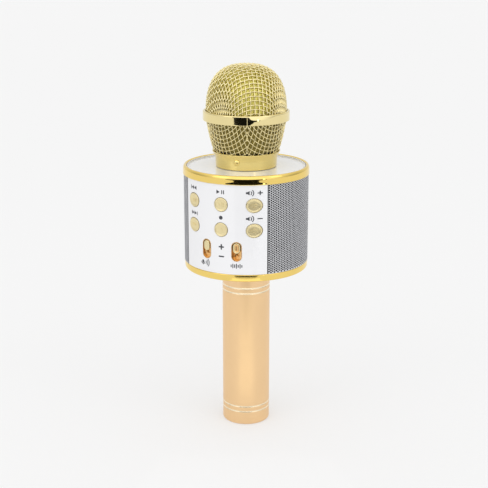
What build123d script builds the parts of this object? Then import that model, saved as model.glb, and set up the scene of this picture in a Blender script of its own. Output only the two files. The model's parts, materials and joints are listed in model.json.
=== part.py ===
from build123d import *
import math
import os

# Karaoke microphone with a loudspeaker drum. Millimetres, +Z up along the handle,
# origin at the centre of the handle's bottom face, control panel facing -Y.

# ---- driving dimensions -------------------------------------------------------------

TOTAL_H = 240.9

# handle
HANDLE_R = 15.7
HANDLE_BORE_R = 14.0
HANDLE_EDGE_R = 1.4
END_CAP_H = 7.0
END_CAP_FLOOR = 2.5
END_CAP_WALL = 1.6
GROOVE_W = 1.0
GROOVE_DEPTH = 0.2
GROOVES_Z = (9.4, 12.95, 92.8, 96.3)

# drum
DRUM_BOTTOM_Z = 108.7
DRUM_TOP_Z = 176.55
RIM_R = 41.0
RIM_BORE_R = 38.5
RIM_ROUND_R = 2.2
RIM_LIP_T = 0.5
RIM_BODY_H = 3.3
RIM_H = 5.55
LOW_RIM_H = 4.7
LOW_RIM_ROUND_R = 1.5
SHELL_GAP = 0.1
SHELL_R = 40.4
PANEL_T = 2.0
PANEL_HALF_DEG = 42.8
GRILLE_T = 0.6
SEAM_DEG = 0.8
COVER_T = 2.2
COVER_RECESS = 1.3
COVER_EDGE_H = 0.9
COVER_EDGE_T = 0.6
BOTTOM_RECESS = 0.8
DECK_T = 2.0
DECK_R = 38.1
POST_T = 1.5
POST_OFFSET_DEG = 1.9
POST_HALF_DEG = 2.0
COVER_R = 38.3

# controls on the front panel
BUTTON_R = 4.38
BUTTON_COLUMNS_X = (-20.5, 0.45, 20.5)
BUTTON_ROWS_Z = (158.1, 142.1)
BUTTON_PROUD = 0.5
BUTTON_SKIRT = 1.0
BUTTON_GAP = 0.2
FLANGE_LIP = 0.75
FLANGE_REACH_X = 24.9
SLIDERS_X = (-9.95, 10.4)
SLIDER_Z = 128.45
SLOT_W = 6.4
SLOT_H = 12.7
KNOB_W = 4.6
KNOB_H = 6.9
SLIDER_TRAVEL = 4.4
TRAY_WALL = 0.4
TRAY_FLOOR_Y = (35.2, 36.2)
TRAY_PASSAGE = (7.4, 2.6)
KNOB_BACK_Y = 36.5

# rear controls and sockets
SWITCH_Z = 155.0
SWITCH_TRAVEL = 3.0
SWITCH_PLATE_Y = (36.3, 37.3)
MODE_Z = 143.0
SWITCH_SLOT = (8.4, 3.8)
LIGHT_Z = 164.0
LIGHT_X = 4.0
LIGHT_HOLE_R = 1.1
SOCKET_Z = 124.0
SOCKET_SLOT = (8.8, 3.9)
JACK_X = -11.0
JACK_HOLE_R = 3.1
JACK_BORE_R = 1.8
JACK_BODY_Y = 35.0
JACK_NOSE_Y = 38.0
JACK_FLOOR_Y = 25.5
CARD_X = 12.0
CARD_SLOT = (12.8, 2.4)
CARD_MOUTH_Y = 32.5
CARD_FLOOR_Y = 26.0

# loudspeakers
SPEAKER_Z = 142.4
SPEAKER_SIDE = 40.0
SPEAKER_HOLE_PITCH = 17.0
BAFFLE_X = 24.0
BAFFLE_T = 2.0
BAFFLE_HOLE_R = 18.2
CONE_R = 17.4
BASKET_R = 18.0
FLANGE_T = 1.6
MAGNET_X = (9.0, 15.5)
MAGNET_R = 11.0
CONE_T = 0.6
TAG_Y = 15.0

# circuit boards
BOARD_Y = 22.9
BOARD_T = 1.6
BOARD_HALF_W = 27.0
BOARD_Z = (114.6, 169.2)
BOARD_SCREWS_Z = (117.5, 166.8)
SWITCH_BODY = 6.0
SWITCH_BODY_H = 3.5

# neck, capsule and head
NECK_R = 16.9
NECK_TOP_Z = 184.0
NECK_BORE_R = 12.5
NECK_CUP_R = 14.5
NECK_CUP_Z = 178.0
POST_FOOT_R = 14.4
CAPSULE_R = 7.0
HOLDER_R = 9.0
CUP_HOLDER_R = 10.2
CAPSULE_Z = (198.0, 208.0)
HOLDER_Z = (197.0, 207.0)
POST_SHOULDER_Z = 195.0
POST_RIM_Z = 204.0
LEAD_Z = (122.0, 158.0)
NECK_FLANGE_R = 22.0
THREAD_GAP = 0.3
COLLAR_BASE_Z = 175.5
COLLAR_WAIST_Z = 180.5
COLLAR_TOP_Z = 185.6
COLLAR_BASE_R = 19.65
COLLAR_WAIST_R = 19.95
COLLAR_TOP_R = 22.1
COLLAR_BORE_R = 18.6
STUD_DEG = 6.0
STUD_Z = 180.7
STUD_R = 2.0
STUD_DOME_H = 0.75
CUP_BASE_Z = 184.6
CUP_BASE_R = 21.05
CUP_MIDDLE_Z = 196.0
CUP_MIDDLE_R = 24.2
BAND_Z = (205.3, 211.4)
BAND_R = 27.8
BAND_TOP_ROUND = 0.7
BAND_LOW_ROUND = 0.35
BAND_BORE_R = 26.35
CUP_TOP_R = 26.15
MESH_T = 1.2
DOME_R = 26.2
DOME_BASE_Z = 208.0
DOME_POWER = 2.65
GAUZE_T = 0.3
FOAM_GAP = 0.4
FOAM_T = 3.0
FOAM_LIFT = 1.6

# battery
CELL_R = 9.2
CELL_Z = (15.0, 80.0)
CARRIER_R = 13.6
CARRIER_Z = (8.0, 86.0)
POCKET_Z = (12.0, 80.4)
CELL_TIP_R = 2.8
CELL_TIP_H = 1.2
CONTACT_R = 5.0
CONTACT_T = 0.4

# fasteners: one size of self-tapping screw throughout
SCREW_R = 0.95
SCREW_L = 6.0
HEAD_R = 1.9
HEAD_H = 1.2

# ---- values that follow from the driving dimensions -----------------------------------

PANEL_IN_R = SHELL_R - PANEL_T
HANDLE_TOP_Z = DRUM_BOTTOM_Z + BOTTOM_RECESS
LOWER_DECK_Z = HANDLE_TOP_Z + COVER_T
UPPER_DECK_Z = DRUM_TOP_Z - COVER_RECESS - COVER_T - DECK_T
TOP_FACE_Z = DRUM_TOP_Z - COVER_RECESS
PANEL_Z = (DRUM_BOTTOM_Z + LOW_RIM_H + SHELL_GAP, DRUM_TOP_Z - RIM_BODY_H - SHELL_GAP)
COVER_SCREW_Z = HANDLE_TOP_Z + 0.2 + HEAD_H
BOARD_OUT_Y = BOARD_Y + BOARD_T
PLUNGER_R = 1.5
PLUNGER_END_Y = BOARD_OUT_Y + SWITCH_BODY_H - 0.2
DOME_H = TOTAL_H - DOME_BASE_Z
CUP_TOP_Z = DOME_BASE_Z - 0.4
RIB_X = (20.0, 26.0)
RIB_Y = (18.9, BOARD_Y)
RIB_SCREW = (23.0, 20.9)
COUPLING_R = HANDLE_BORE_R - 0.1
COUPLING_FLANGE_R = 20.0
COUPLING_FLANGE_T = 2.0
COUPLING_SCREW_R = 17.0
COUPLING_BORE_R = 11.0
COUPLING_DEPTH = 14.0
NECK_SCREW_R = 19.4


# Distances along Y that lie well inside and well outside the drum's wall.
CUT_FROM_Y = 20.0
CUT_TO_Y = 50.0

# ---- shape helpers --------------------------------------------------------------------


def rod(radius, z0, z1, x=0.0, y=0.0):
    """A cylinder along Z."""
    return Pos(x, y, z0) * Cylinder(radius, z1 - z0, align=(Align.CENTER, Align.CENTER, Align.MIN))


def ring(outer, inner, z0, z1):
    """A hollow cylinder along Z."""
    return rod(outer, z0, z1) - rod(inner, z0, z1)


def block(x0, x1, y0, y1, z0, z1):
    """A box between three pairs of planes."""
    return Pos((x0 + x1) / 2, (y0 + y1) / 2, (z0 + z1) / 2) * Box(x1 - x0, y1 - y0, z1 - z0)


def lathe(points):
    """The (radius, height) outline turned about Z."""
    outline = Polyline(*[(r, 0, z) for r, z in points], close=True)
    return revolve(make_face(outline), Axis.Z)


def facing(side, x, y, z, shape):
    """Puts a shape that grows along local +Z on the front (side -1) or rear (side 1), growing outward."""
    plane = Plane(origin=(x, side * y, z), x_dir=(-side, 0, 0), z_dir=(0, side, 0))
    return plane * shape


def rod_out(side, radius, x, z, y0, y1):
    """A cylinder along Y, from y0 to y1 away from the axis."""
    return facing(side, x, y0, z, Cylinder(radius, y1 - y0, align=(Align.CENTER, Align.CENTER, Align.MIN)))


def slot_out(side, length, width, x, z, y0, y1, turn=0.0):
    """A round-ended bar along Y; its long way lies along X, or along Z with turn=90."""
    return facing(side, x, y0, z, extrude(Rot(0, 0, turn) * SlotOverall(length, width), amount=y1 - y0))


def wedge(centre_deg, half_deg, z0, z1):
    """A wedge about the drum's axis, wider than the drum."""
    reach = 2 * RIM_R / math.cos(math.radians(half_deg))
    corners = [(0, 0)]
    for angle in (centre_deg - half_deg, centre_deg + half_deg):
        corners.append((reach * math.cos(math.radians(angle)), reach * math.sin(math.radians(angle))))
    return Pos(0, 0, z0) * extrude(make_face(Polyline(*corners, close=True)), amount=z1 - z0)


def drum_wall(outer, thickness, centre_deg, half_deg):
    """A stretch of the drum's side wall."""
    z0, z1 = PANEL_Z
    return ring(outer, outer - thickness, z0, z1) & wedge(centre_deg, half_deg, z0, z1)


def spun(shape, count, start_deg=0.0):
    """Copies of a shape, evenly round Z."""
    return [Rot(0, 0, start_deg + i * 360 / count) * shape for i in range(count)]


def joined(shapes):
    """Several solids as one node."""
    return Compound(children=list(shapes))


def wire_tube(path, radius):
    """A round lead along a path."""
    start = Plane(origin=path @ 0, z_dir=path % 0)
    return sweep(start * Circle(radius), path=path)


def save(name, shape):
    export_step(shape, f"parts/{name}.step")


# ---- fasteners ------------------------------------------------------------------------


def screw():
    """A pan-head screw pointing down, the underside of its head at the origin."""
    head = lathe([(0, 0), (HEAD_R, 0), (HEAD_R, HEAD_H * 0.5), (HEAD_R * 0.6, HEAD_H), (0, HEAD_H)])
    return rod(SCREW_R, -SCREW_L, 0) + head - block(-0.25, 0.25, -1.2, 1.2, HEAD_H * 0.55, HEAD_H)


def screw_at(x, y, z, into):
    """The screw with its head seated at a point, driven in the direction given."""
    across = (0, 0, 1) if abs(into[2]) < 0.5 else (1, 0, 0)
    plane = Plane(origin=(x, y, z), x_dir=across, z_dir=tuple(-i for i in into))
    return plane * screw()


def chassis_screws():
    corners = [(sx, sy) for sx in (-1, 1) for sy in (-1, 1)]
    out = []
    for sx, sy in corners:
        out.append(screw_at(sx * RIB_SCREW[0], sy * RIB_SCREW[1], COVER_SCREW_Z, (0, 0, 1)))
        for z in BOARD_SCREWS_Z:
            out.append(screw_at(sx * RIB_SCREW[0], sy * BOARD_OUT_Y, z, (0, -sy, 0)))
        for sz in (-1, 1):
            face_x = BAFFLE_X + BAFFLE_T + FLANGE_T
            z = SPEAKER_Z + sz * SPEAKER_HOLE_PITCH
            out.append(screw_at(sx * face_x, sy * SPEAKER_HOLE_PITCH, z, (-sx, 0, 0)))
    flange_z = LOWER_DECK_Z + DECK_T + COUPLING_FLANGE_T
    out += spun(screw_at(COUPLING_SCREW_R, 0, flange_z, (0, 0, -1)), 3, 90)
    out += spun(screw_at(NECK_SCREW_R, 0, UPPER_DECK_Z - 2.0, (0, 0, 1)), 3, 90)
    return out


SCREWS = chassis_screws()


def cleared(shape):
    """Drills the part where the screws pass through it."""
    box = shape.bounding_box()
    for one in SCREWS:
        other = one.bounding_box()
        apart = any(
            getattr(box.min, a) > getattr(other.max, a) or getattr(other.min, a) > getattr(box.max, a)
            for a in "XYZ"
        )
        if not apart:
            shape = shape - one
    return shape


# ---- handle ---------------------------------------------------------------------------


def handle_tube():
    tube = ring(HANDLE_R, HANDLE_BORE_R, 0, HANDLE_TOP_Z)
    foot = tube.edges().filter_by(GeomType.CIRCLE).group_by(Axis.Z)[0].sort_by(SortBy.RADIUS)[-1]
    tube = fillet(foot, HANDLE_EDGE_R)
    for z in GROOVES_Z:
        tube -= ring(HANDLE_R + 1, HANDLE_R - GROOVE_DEPTH, z - GROOVE_W / 2, z + GROOVE_W / 2)
    return tube


def end_cap():
    return rod(COUPLING_R, 0, END_CAP_H) - rod(COUPLING_R - END_CAP_WALL, END_CAP_FLOOR, END_CAP_H)


def handle_coupling():
    """The bush that carries the handle: it fits in the tube and is screwed to the drum's floor."""
    flange_z = LOWER_DECK_Z + DECK_T
    low_z, high_z = HANDLE_TOP_Z - COUPLING_DEPTH, flange_z + COUPLING_FLANGE_T
    bush = rod(COUPLING_FLANGE_R, flange_z, high_z) + rod(COUPLING_R, low_z, flange_z)
    return cleared(bush - rod(COUPLING_BORE_R, low_z, high_z))


def battery_carrier():
    z0, z1 = CARRIER_Z
    low, high = POCKET_Z
    pocket_r = CELL_R + 0.2
    pocket = rod(pocket_r, low, high) + block(-pocket_r, pocket_r, -CARRIER_R, 0, low, high)
    return rod(CARRIER_R, z0, z1) - pocket


def battery_cell():
    z0, z1 = CELL_Z
    return rod(CELL_R, z0, z1 - CELL_TIP_H) + rod(CELL_TIP_R, z1 - CELL_TIP_H, z1)


def battery_contacts():
    low, high = POCKET_Z
    lower = lathe([
        (0, low),
        (CONTACT_R, low),
        (CONTACT_R, low + CONTACT_T),
        (CONTACT_R * 0.6, low + CONTACT_T),
        (CONTACT_R * 0.3, CELL_Z[0]),
        (0, CELL_Z[0]),
    ])
    return joined([lower, rod(CONTACT_R, CELL_Z[1], high)])


# ---- drum shell -----------------------------------------------------------------------


def rim_corner(outer, corner):
    """The bore's edge and the rounded outer corner of a rim, drawn from height 0 upward."""
    bulge = corner * (1 - math.sqrt(0.5))
    return [
        Line((RIM_BORE_R, 0, 0), (outer - corner, 0, 0)),
        ThreePointArc((outer - corner, 0, 0), (outer - bulge, 0, bulge), (outer, 0, corner)),
    ]


def top_rim():
    """A plated ring with a rounded outer corner and a lip that hangs over the side wall."""
    lip = RIM_R - RIM_LIP_T
    outline = rim_corner(RIM_R, RIM_ROUND_R) + [
        Line((RIM_R, 0, RIM_ROUND_R), (RIM_R, 0, RIM_H)),
        Line((RIM_R, 0, RIM_H), (lip, 0, RIM_H)),
        Line((lip, 0, RIM_H), (lip, 0, RIM_BODY_H)),
        Line((lip, 0, RIM_BODY_H), (RIM_BORE_R, 0, RIM_BODY_H)),
        Line((RIM_BORE_R, 0, RIM_BODY_H), (RIM_BORE_R, 0, 0)),
    ]
    return Pos(0, 0, DRUM_TOP_Z) * Rot(180, 0, 0) * revolve(make_face(Wire(outline)), Axis.Z)


def bottom_rim():
    """A plated ring, flush with the side wall that stands on it."""
    outline = rim_corner(SHELL_R, LOW_RIM_ROUND_R) + [
        Line((SHELL_R, 0, LOW_RIM_ROUND_R), (SHELL_R, 0, LOW_RIM_H)),
        Line((SHELL_R, 0, LOW_RIM_H), (RIM_BORE_R, 0, LOW_RIM_H)),
        Line((RIM_BORE_R, 0, LOW_RIM_H), (RIM_BORE_R, 0, 0)),
    ]
    return Pos(0, 0, DRUM_BOTTOM_Z) * revolve(make_face(Wire(outline)), Axis.Z)


def bottom_cover():
    cover = ring(COVER_R, HANDLE_BORE_R, HANDLE_TOP_Z, HANDLE_TOP_Z + COVER_T)
    for sx in (-1, 1):
        for sy in (-1, 1):
            cover -= rod(HEAD_R + 0.3, HANDLE_TOP_Z, COVER_SCREW_Z, sx * RIB_SCREW[0], sy * RIB_SCREW[1])
    return cleared(cover)


def top_cover():
    """A shallow dish: a flat plate with a thin raised edge inside the rim."""
    plate = ring(COVER_R, NECK_R + 0.1, TOP_FACE_Z - COVER_T, TOP_FACE_Z)
    return cleared(plate + ring(COVER_R, COVER_R - COVER_EDGE_T, TOP_FACE_Z, TOP_FACE_Z + COVER_EDGE_H))


def front_panel():
    panel = drum_wall(SHELL_R, PANEL_T, -90, PANEL_HALF_DEG)
    for x in BUTTON_COLUMNS_X:
        for z in BUTTON_ROWS_Z:
            panel -= rod_out(-1, BUTTON_R + BUTTON_GAP, x, z, CUT_FROM_Y, CUT_TO_Y)
    for x in SLIDERS_X:
        panel -= slot_out(-1, SLOT_H, SLOT_W, x, SLIDER_Z, CUT_FROM_Y, CUT_TO_Y, turn=90)
    return panel


def rear_panel():
    panel = drum_wall(SHELL_R, PANEL_T, 90, PANEL_HALF_DEG)
    reach = (CUT_FROM_Y, CUT_TO_Y)
    panel -= rod_out(1, BUTTON_R + BUTTON_GAP, 0, MODE_Z, *reach)
    panel -= slot_out(1, *SWITCH_SLOT, 0, SWITCH_Z, *reach)
    for sx in (-1, 1):
        panel -= rod_out(1, LIGHT_HOLE_R, sx * LIGHT_X, LIGHT_Z, *reach)
    panel -= slot_out(1, *SOCKET_SLOT, 0, SOCKET_Z, *reach)
    panel -= rod_out(1, JACK_HOLE_R, JACK_X, SOCKET_Z, *reach)
    return panel - slot_out(1, *CARD_SLOT, CARD_X, SOCKET_Z, *reach)


def grille(centre_deg):
    return drum_wall(SHELL_R, GRILLE_T, centre_deg, 90 - PANEL_HALF_DEG - SEAM_DEG)


def grille_cloth():
    """The dark acoustic cloth stretched behind each grille."""
    outer = SHELL_R - GRILLE_T - 0.1
    return joined(drum_wall(outer, 0.3, centre, 90 - PANEL_HALF_DEG - SEAM_DEG) for centre in (0, 180))


# ---- drum inside ----------------------------------------------------------------------


def drum_chassis():
    """Two decks joined by the loudspeakers' baffles, four screw ribs and a post behind each seam."""
    z0, z1 = LOWER_DECK_Z, UPPER_DECK_Z + DECK_T
    frame = ring(DECK_R, HANDLE_BORE_R, z0, z0 + DECK_T)
    frame += ring(DECK_R, NECK_R + 0.1, z1 - DECK_T, z1)
    for middle in (-90, 90):
        for turn in (-1, 1):
            behind = middle + turn * (PANEL_HALF_DEG + SEAM_DEG / 2 + POST_OFFSET_DEG)
            frame += ring(DECK_R, DECK_R - POST_T, z0, z1) & wedge(behind, POST_HALF_DEG, z0, z1)
    for sx in (-1, 1):
        baffle = block(BAFFLE_X, BAFFLE_X + BAFFLE_T, -BOARD_Y, BOARD_Y, z0 + DECK_T, z1 - DECK_T)
        baffle -= Pos(BAFFLE_X, 0, SPEAKER_Z) * Rot(0, 90, 0) * Cylinder(BAFFLE_HOLE_R, 4 * BAFFLE_T)
        for sy in (-1, 1):
            y0, y1 = sorted((sy * RIB_Y[0], sy * RIB_Y[1]))
            baffle += block(RIB_X[0], RIB_X[1], y0, y1, z0 + DECK_T, z1 - DECK_T)
            for sz in (-1, 1):
                boss = Pos(BAFFLE_X - 1.5, sy * SPEAKER_HOLE_PITCH, SPEAKER_Z + sz * SPEAKER_HOLE_PITCH)
                baffle += boss * Rot(0, 90, 0) * Cylinder(2.2, 3.0)
        frame += Rot(0, 0, 0 if sx > 0 else 180) * baffle
    return cleared(frame)


def on_side(sx, shape):
    """A loudspeaker piece is drawn about +X and turned to its side."""
    return Rot(0, 0, 0 if sx > 0 else 180) * shape


def turned_x(points):
    """The (distance along X, radius) outline turned about the loudspeaker's axis."""
    return Pos(0, 0, SPEAKER_Z) * Rot(0, 90, 0) * lathe([(r, a) for a, r in points])


def speaker_frame(sx):
    front = BAFFLE_X + BAFFLE_T
    half = SPEAKER_SIDE / 2
    back = MAGNET_X[1]
    flange = block(front, front + FLANGE_T, -half, half, SPEAKER_Z - half, SPEAKER_Z + half)
    flange -= turned_x([(front - 1, 0), (front - 1, CONE_R), (front + 3, CONE_R), (front + 3, 0)])
    basket = turned_x([
        (front, CONE_R),
        (front, BASKET_R),
        (back + 1.5, MAGNET_R + 1),
        (back, MAGNET_R + 1),
        (back, 0),
        (back + 1.2, 0),
        (back + 1.2, MAGNET_R - 0.2),
        (front - 1.2, CONE_R - 0.8),
    ])
    tag = block(back, back + 1.2, MAGNET_R + 0.5, TAG_Y, SPEAKER_Z - 4, SPEAKER_Z + 4)
    return cleared(on_side(sx, flange + basket + tag))


def speaker_cone(sx):
    """The paper cone with its rolled surround and dust cap, as one sheet."""
    surround = BAFFLE_X + BAFFLE_T + 0.8
    front = [
        (surround, CONE_R),
        (surround, CONE_R - 2),
        (surround - 5.8, 5.5),
        (surround - 4.8, 3.2),
        (surround - 4.4, 0),
    ]
    back = [(a - CONE_T, r) for a, r in reversed(front)]
    return on_side(sx, turned_x(front + back))


def speaker_magnet(sx):
    back, front = MAGNET_X
    return on_side(sx, turned_x([(back, 0), (back, MAGNET_R), (front, MAGNET_R), (front, 0)]))


def speaker_leads():
    """Four leads from the loudspeakers' tags to the main board."""
    tag_x = MAGNET_X[1] + 0.6
    board_x = tag_x - 2
    out = []
    for sx in (-1, 1):
        for sz in (-1, 1):
            z = SPEAKER_Z + sz * 2.5
            knots = [(tag_x, TAG_Y, z), (tag_x, TAG_Y + 2, z), (board_x, TAG_Y + 4, z), (board_x, BOARD_Y, z)]
            lead = wire_tube(FilletPolyline(*knots, radius=1.8), 0.6)
            out.append(lead if sx > 0 else lead.mirror(Plane.YZ))
    return joined(out)


def board(side):
    y0, y1 = sorted((side * BOARD_Y, side * BOARD_OUT_Y))
    return cleared(block(-BOARD_HALF_W, BOARD_HALF_W, y0, y1, *BOARD_Z))


def board_chips():
    """Amplifier, radio and codec packages, with two smoothing capacitors, on the main board."""
    out = []
    for x, z, w, h in ((-8, 150, 10, 10), (9, 152, 6, 8), (-8, 134, 8, 6)):
        out.append(block(x - w / 2, x + w / 2, BOARD_Y - 1.5, BOARD_Y, z - h / 2, z + h / 2))
    for x in (7.5, 13.5):
        out.append(rod_out(1, 2.5, x, 132, BOARD_Y - 6, BOARD_Y))
    return joined(out)


def push_switch(side, x, z):
    """A tact switch body; the button's own stem enters it as the plunger."""
    half = SWITCH_BODY / 2
    y0, y1 = sorted((side * BOARD_OUT_Y, side * (BOARD_OUT_Y + SWITCH_BODY_H)))
    body = block(x - half, x + half, y0, y1, z - half, z + half)
    return body - rod_out(side, PLUNGER_R + 0.3, x, z, BOARD_OUT_Y + 1.5, BOARD_OUT_Y + SWITCH_BODY_H + 1)


def slide_pot(x):
    """A slide potentiometer; the knob's own stem enters it as the lever."""
    y0, y1 = -BOARD_OUT_Y - SWITCH_BODY_H, -BOARD_OUT_Y
    body = block(x - 3.75, x + 3.75, y0, y1, SLIDER_Z - 8, SLIDER_Z + 8)
    return body - block(x - 1.2, x + 1.2, y0, y1 - 1, SLIDER_Z - 3.7, SLIDER_Z + 3.7)


# ---- controls -------------------------------------------------------------------------


def push_button(side, x, z):
    """A round cap that follows the drum's curve, with a retaining flange and a stem."""
    low, high = z - 2 * BUTTON_R, z + 2 * BUTTON_R
    floor_r = PANEL_IN_R - BUTTON_SKIRT
    cap = rod_out(side, BUTTON_R, x, z, CUT_FROM_Y, CUT_TO_Y)
    cap &= ring(SHELL_R + BUTTON_PROUD, floor_r, low, high)
    flange = rod_out(side, BUTTON_R + FLANGE_LIP, x, z, CUT_FROM_Y, CUT_TO_Y)
    flange &= ring(PANEL_IN_R - BUTTON_GAP, floor_r, low, high)
    flange &= block(-FLANGE_REACH_X, FLANGE_REACH_X, -CUT_TO_Y, CUT_TO_Y, low, high)
    reach = math.sqrt((floor_r + 0.4) ** 2 - x**2)
    return cap + flange + rod_out(side, PLUNGER_R, x, z, PLUNGER_END_Y, reach)


def slider_bezel(x):
    """A shallow gold tray in the panel, with a slot in its floor for the slider's stem."""
    back_y, floor_y = TRAY_FLOOR_Y
    well = 2 * TRAY_WALL + 0.1
    tray = slot_out(-1, SLOT_H - 0.1, SLOT_W - 0.1, x, SLIDER_Z, back_y, CUT_TO_Y, turn=90)
    tray &= rod(SHELL_R + 0.1, SLIDER_Z - SLOT_H, SLIDER_Z + SLOT_H)
    tray -= slot_out(-1, SLOT_H - well, SLOT_W - well, x, SLIDER_Z, floor_y, CUT_TO_Y, turn=90)
    return tray - slot_out(-1, *TRAY_PASSAGE, x, SLIDER_Z, CUT_FROM_Y, CUT_TO_Y, turn=90)


def slider_knob(x):
    """An oval knob at the top of its travel, on a stem through the tray."""
    z = SLIDER_Z + SLIDER_TRAVEL / 2
    knob = slot_out(-1, KNOB_H, KNOB_W, x, z, KNOB_BACK_Y, CUT_TO_Y, turn=90)
    knob &= rod(SHELL_R + 0.2, z - KNOB_H, z + KNOB_H)
    return knob + block(x - 0.8, x + 0.8, -KNOB_BACK_Y, -BOARD_OUT_Y - 2.0, z - 1.0, z + 1.0)


def power_switch_body():
    body = block(-6, 6, BOARD_OUT_Y, BOARD_OUT_Y + 4, SWITCH_Z - 2.5, SWITCH_Z + 2.5)
    return body - block(-3, 3, BOARD_OUT_Y + 1.5, BOARD_OUT_Y + 5, SWITCH_Z - 1.2, SWITCH_Z + 1.2)


def power_switch_slider():
    x = -SWITCH_TRAVEL / 2
    back_y, front_y = SWITCH_PLATE_Y
    nib = slot_out(1, 4.0, 2.9, x, SWITCH_Z, front_y, SHELL_R + 0.7)
    plate = block(x - 5.5, x + 5.5, back_y, front_y, SWITCH_Z - 2.7, SWITCH_Z + 2.7)
    return nib + plate + block(x - 0.8, x + 0.8, BOARD_OUT_Y + 2, back_y, SWITCH_Z - 0.8, SWITCH_Z + 0.8)


def status_lights():
    out = []
    for sx in (-1, 1):
        pipe = rod_out(1, LIGHT_HOLE_R - 0.05, sx * LIGHT_X, LIGHT_Z, BOARD_OUT_Y, CUT_TO_Y)
        out.append(pipe & rod(SHELL_R + 0.1, LIGHT_Z - 5, LIGHT_Z + 5))
    return joined(out)


def charge_socket():
    shell = slot_out(1, 7.9, 3.1, 0, SOCKET_Z, BOARD_OUT_Y, SHELL_R - 0.4)
    shell -= slot_out(1, 7.3, 2.5, 0, SOCKET_Z, BOARD_OUT_Y + 5, SHELL_R)
    return shell + block(-2.5, 2.5, BOARD_OUT_Y + 4.5, SHELL_R - 2, SOCKET_Z - 0.3, SOCKET_Z + 0.3)


def audio_jack():
    body = block(JACK_X - 3.5, JACK_X + 3.5, BOARD_OUT_Y, JACK_BODY_Y, SOCKET_Z - 3.5, SOCKET_Z + 3.5)
    body += rod_out(1, JACK_HOLE_R - 0.1, JACK_X, SOCKET_Z, JACK_BODY_Y, JACK_NOSE_Y)
    return body - rod_out(1, JACK_BORE_R, JACK_X, SOCKET_Z, JACK_FLOOR_Y, JACK_NOSE_Y)


def card_socket():
    body = block(CARD_X - 7, CARD_X + 7, BOARD_OUT_Y, CARD_MOUTH_Y, SOCKET_Z - 1.4, SOCKET_Z + 1.4)
    throat = block(CARD_X - 5.8, CARD_X + 5.8, CARD_FLOOR_Y, CARD_MOUTH_Y, SOCKET_Z - 0.6, SOCKET_Z + 0.6)
    return body - throat


# ---- neck and capsule -----------------------------------------------------------------


def neck_spigot():
    """The threaded neck that the head screws onto, flanged under the drum's upper deck."""
    foot_z = UPPER_DECK_Z - 2.0
    neck = rod(NECK_R, foot_z, NECK_TOP_Z) + rod(NECK_FLANGE_R, foot_z, UPPER_DECK_Z)
    neck -= rod(NECK_BORE_R, foot_z, NECK_CUP_Z)
    return cleared(neck - rod(NECK_CUP_R, NECK_CUP_Z, NECK_TOP_Z))


def capsule_post():
    """The post that stands in the neck, with a cup on top for the capsule's holder."""
    foot = rod(POST_FOOT_R, NECK_CUP_Z, NECK_CUP_Z + 2.0)
    post = foot + rod(4.0, NECK_CUP_Z, POST_SHOULDER_Z) + rod(CUP_HOLDER_R, POST_SHOULDER_Z, POST_RIM_Z)
    return post - rod(HOLDER_R, HOLDER_Z[0], POST_RIM_Z) - rod(2.0, NECK_CUP_Z, HOLDER_Z[0])


def capsule_holder():
    return ring(HOLDER_R, CAPSULE_R, *HOLDER_Z)


def mic_capsule():
    """The electret capsule, with six sound ports in its face."""
    low, high = CAPSULE_Z
    port = rod(0.6, high - 0.8, high, CAPSULE_R / 2)
    body = rod(CAPSULE_R, low, high)
    for one in spun(port, 6):
        body -= one
    return body


def microphone_lead():
    low, high = LEAD_Z[1], CAPSULE_Z[0]
    return wire_tube(FilletPolyline((0, 0, high), (0, 0, low), (0, BOARD_Y, low), radius=14), 1.2)


def battery_leads():
    end_z = LEAD_Z[0]
    out = []
    for x in (-3, 3):
        path = FilletPolyline((x, 8, CARRIER_Z[1]), (x, 8, end_z), (x, BOARD_Y, end_z), radius=12)
        out.append(wire_tube(path, 0.8))
    return joined(out)


# ---- head -----------------------------------------------------------------------------


def collar_r(z):
    """The collar's radius below its waist."""
    share = (z - COLLAR_BASE_Z) / (COLLAR_WAIST_Z - COLLAR_BASE_Z)
    return COLLAR_BASE_R + share * (COLLAR_WAIST_R - COLLAR_BASE_R)


def collar_stud():
    """A domed locking screw, radial to the collar."""
    seat = collar_r(STUD_Z)
    sphere_r = (STUD_R**2 + STUD_DOME_H**2) / (2 * STUD_DOME_H)
    half = math.asin(STUD_R / sphere_r) / 2
    top = seat + 0.1 + STUD_DOME_H
    shoulder = (sphere_r * math.sin(half), 0, top - sphere_r * (1 - math.cos(half)))
    outline = [
        Line((0, 0, COLLAR_BORE_R + 0.1), (1.2, 0, COLLAR_BORE_R + 0.1)),
        Line((1.2, 0, COLLAR_BORE_R + 0.1), (1.2, 0, seat - 0.6)),
        Line((1.2, 0, seat - 0.6), (STUD_R, 0, seat - 0.6)),
        Line((STUD_R, 0, seat - 0.6), (STUD_R, 0, seat + 0.1)),
        ThreePointArc((STUD_R, 0, seat + 0.1), shoulder, (0, 0, top)),
        Line((0, 0, top), (0, 0, COLLAR_BORE_R + 0.1)),
    ]
    stud = revolve(make_face(Wire(outline)), Axis.Z)
    return Rot(0, 0, STUD_DEG - 90) * Pos(0, 0, STUD_Z) * Rot(0, 90, 0) * stud


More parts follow.
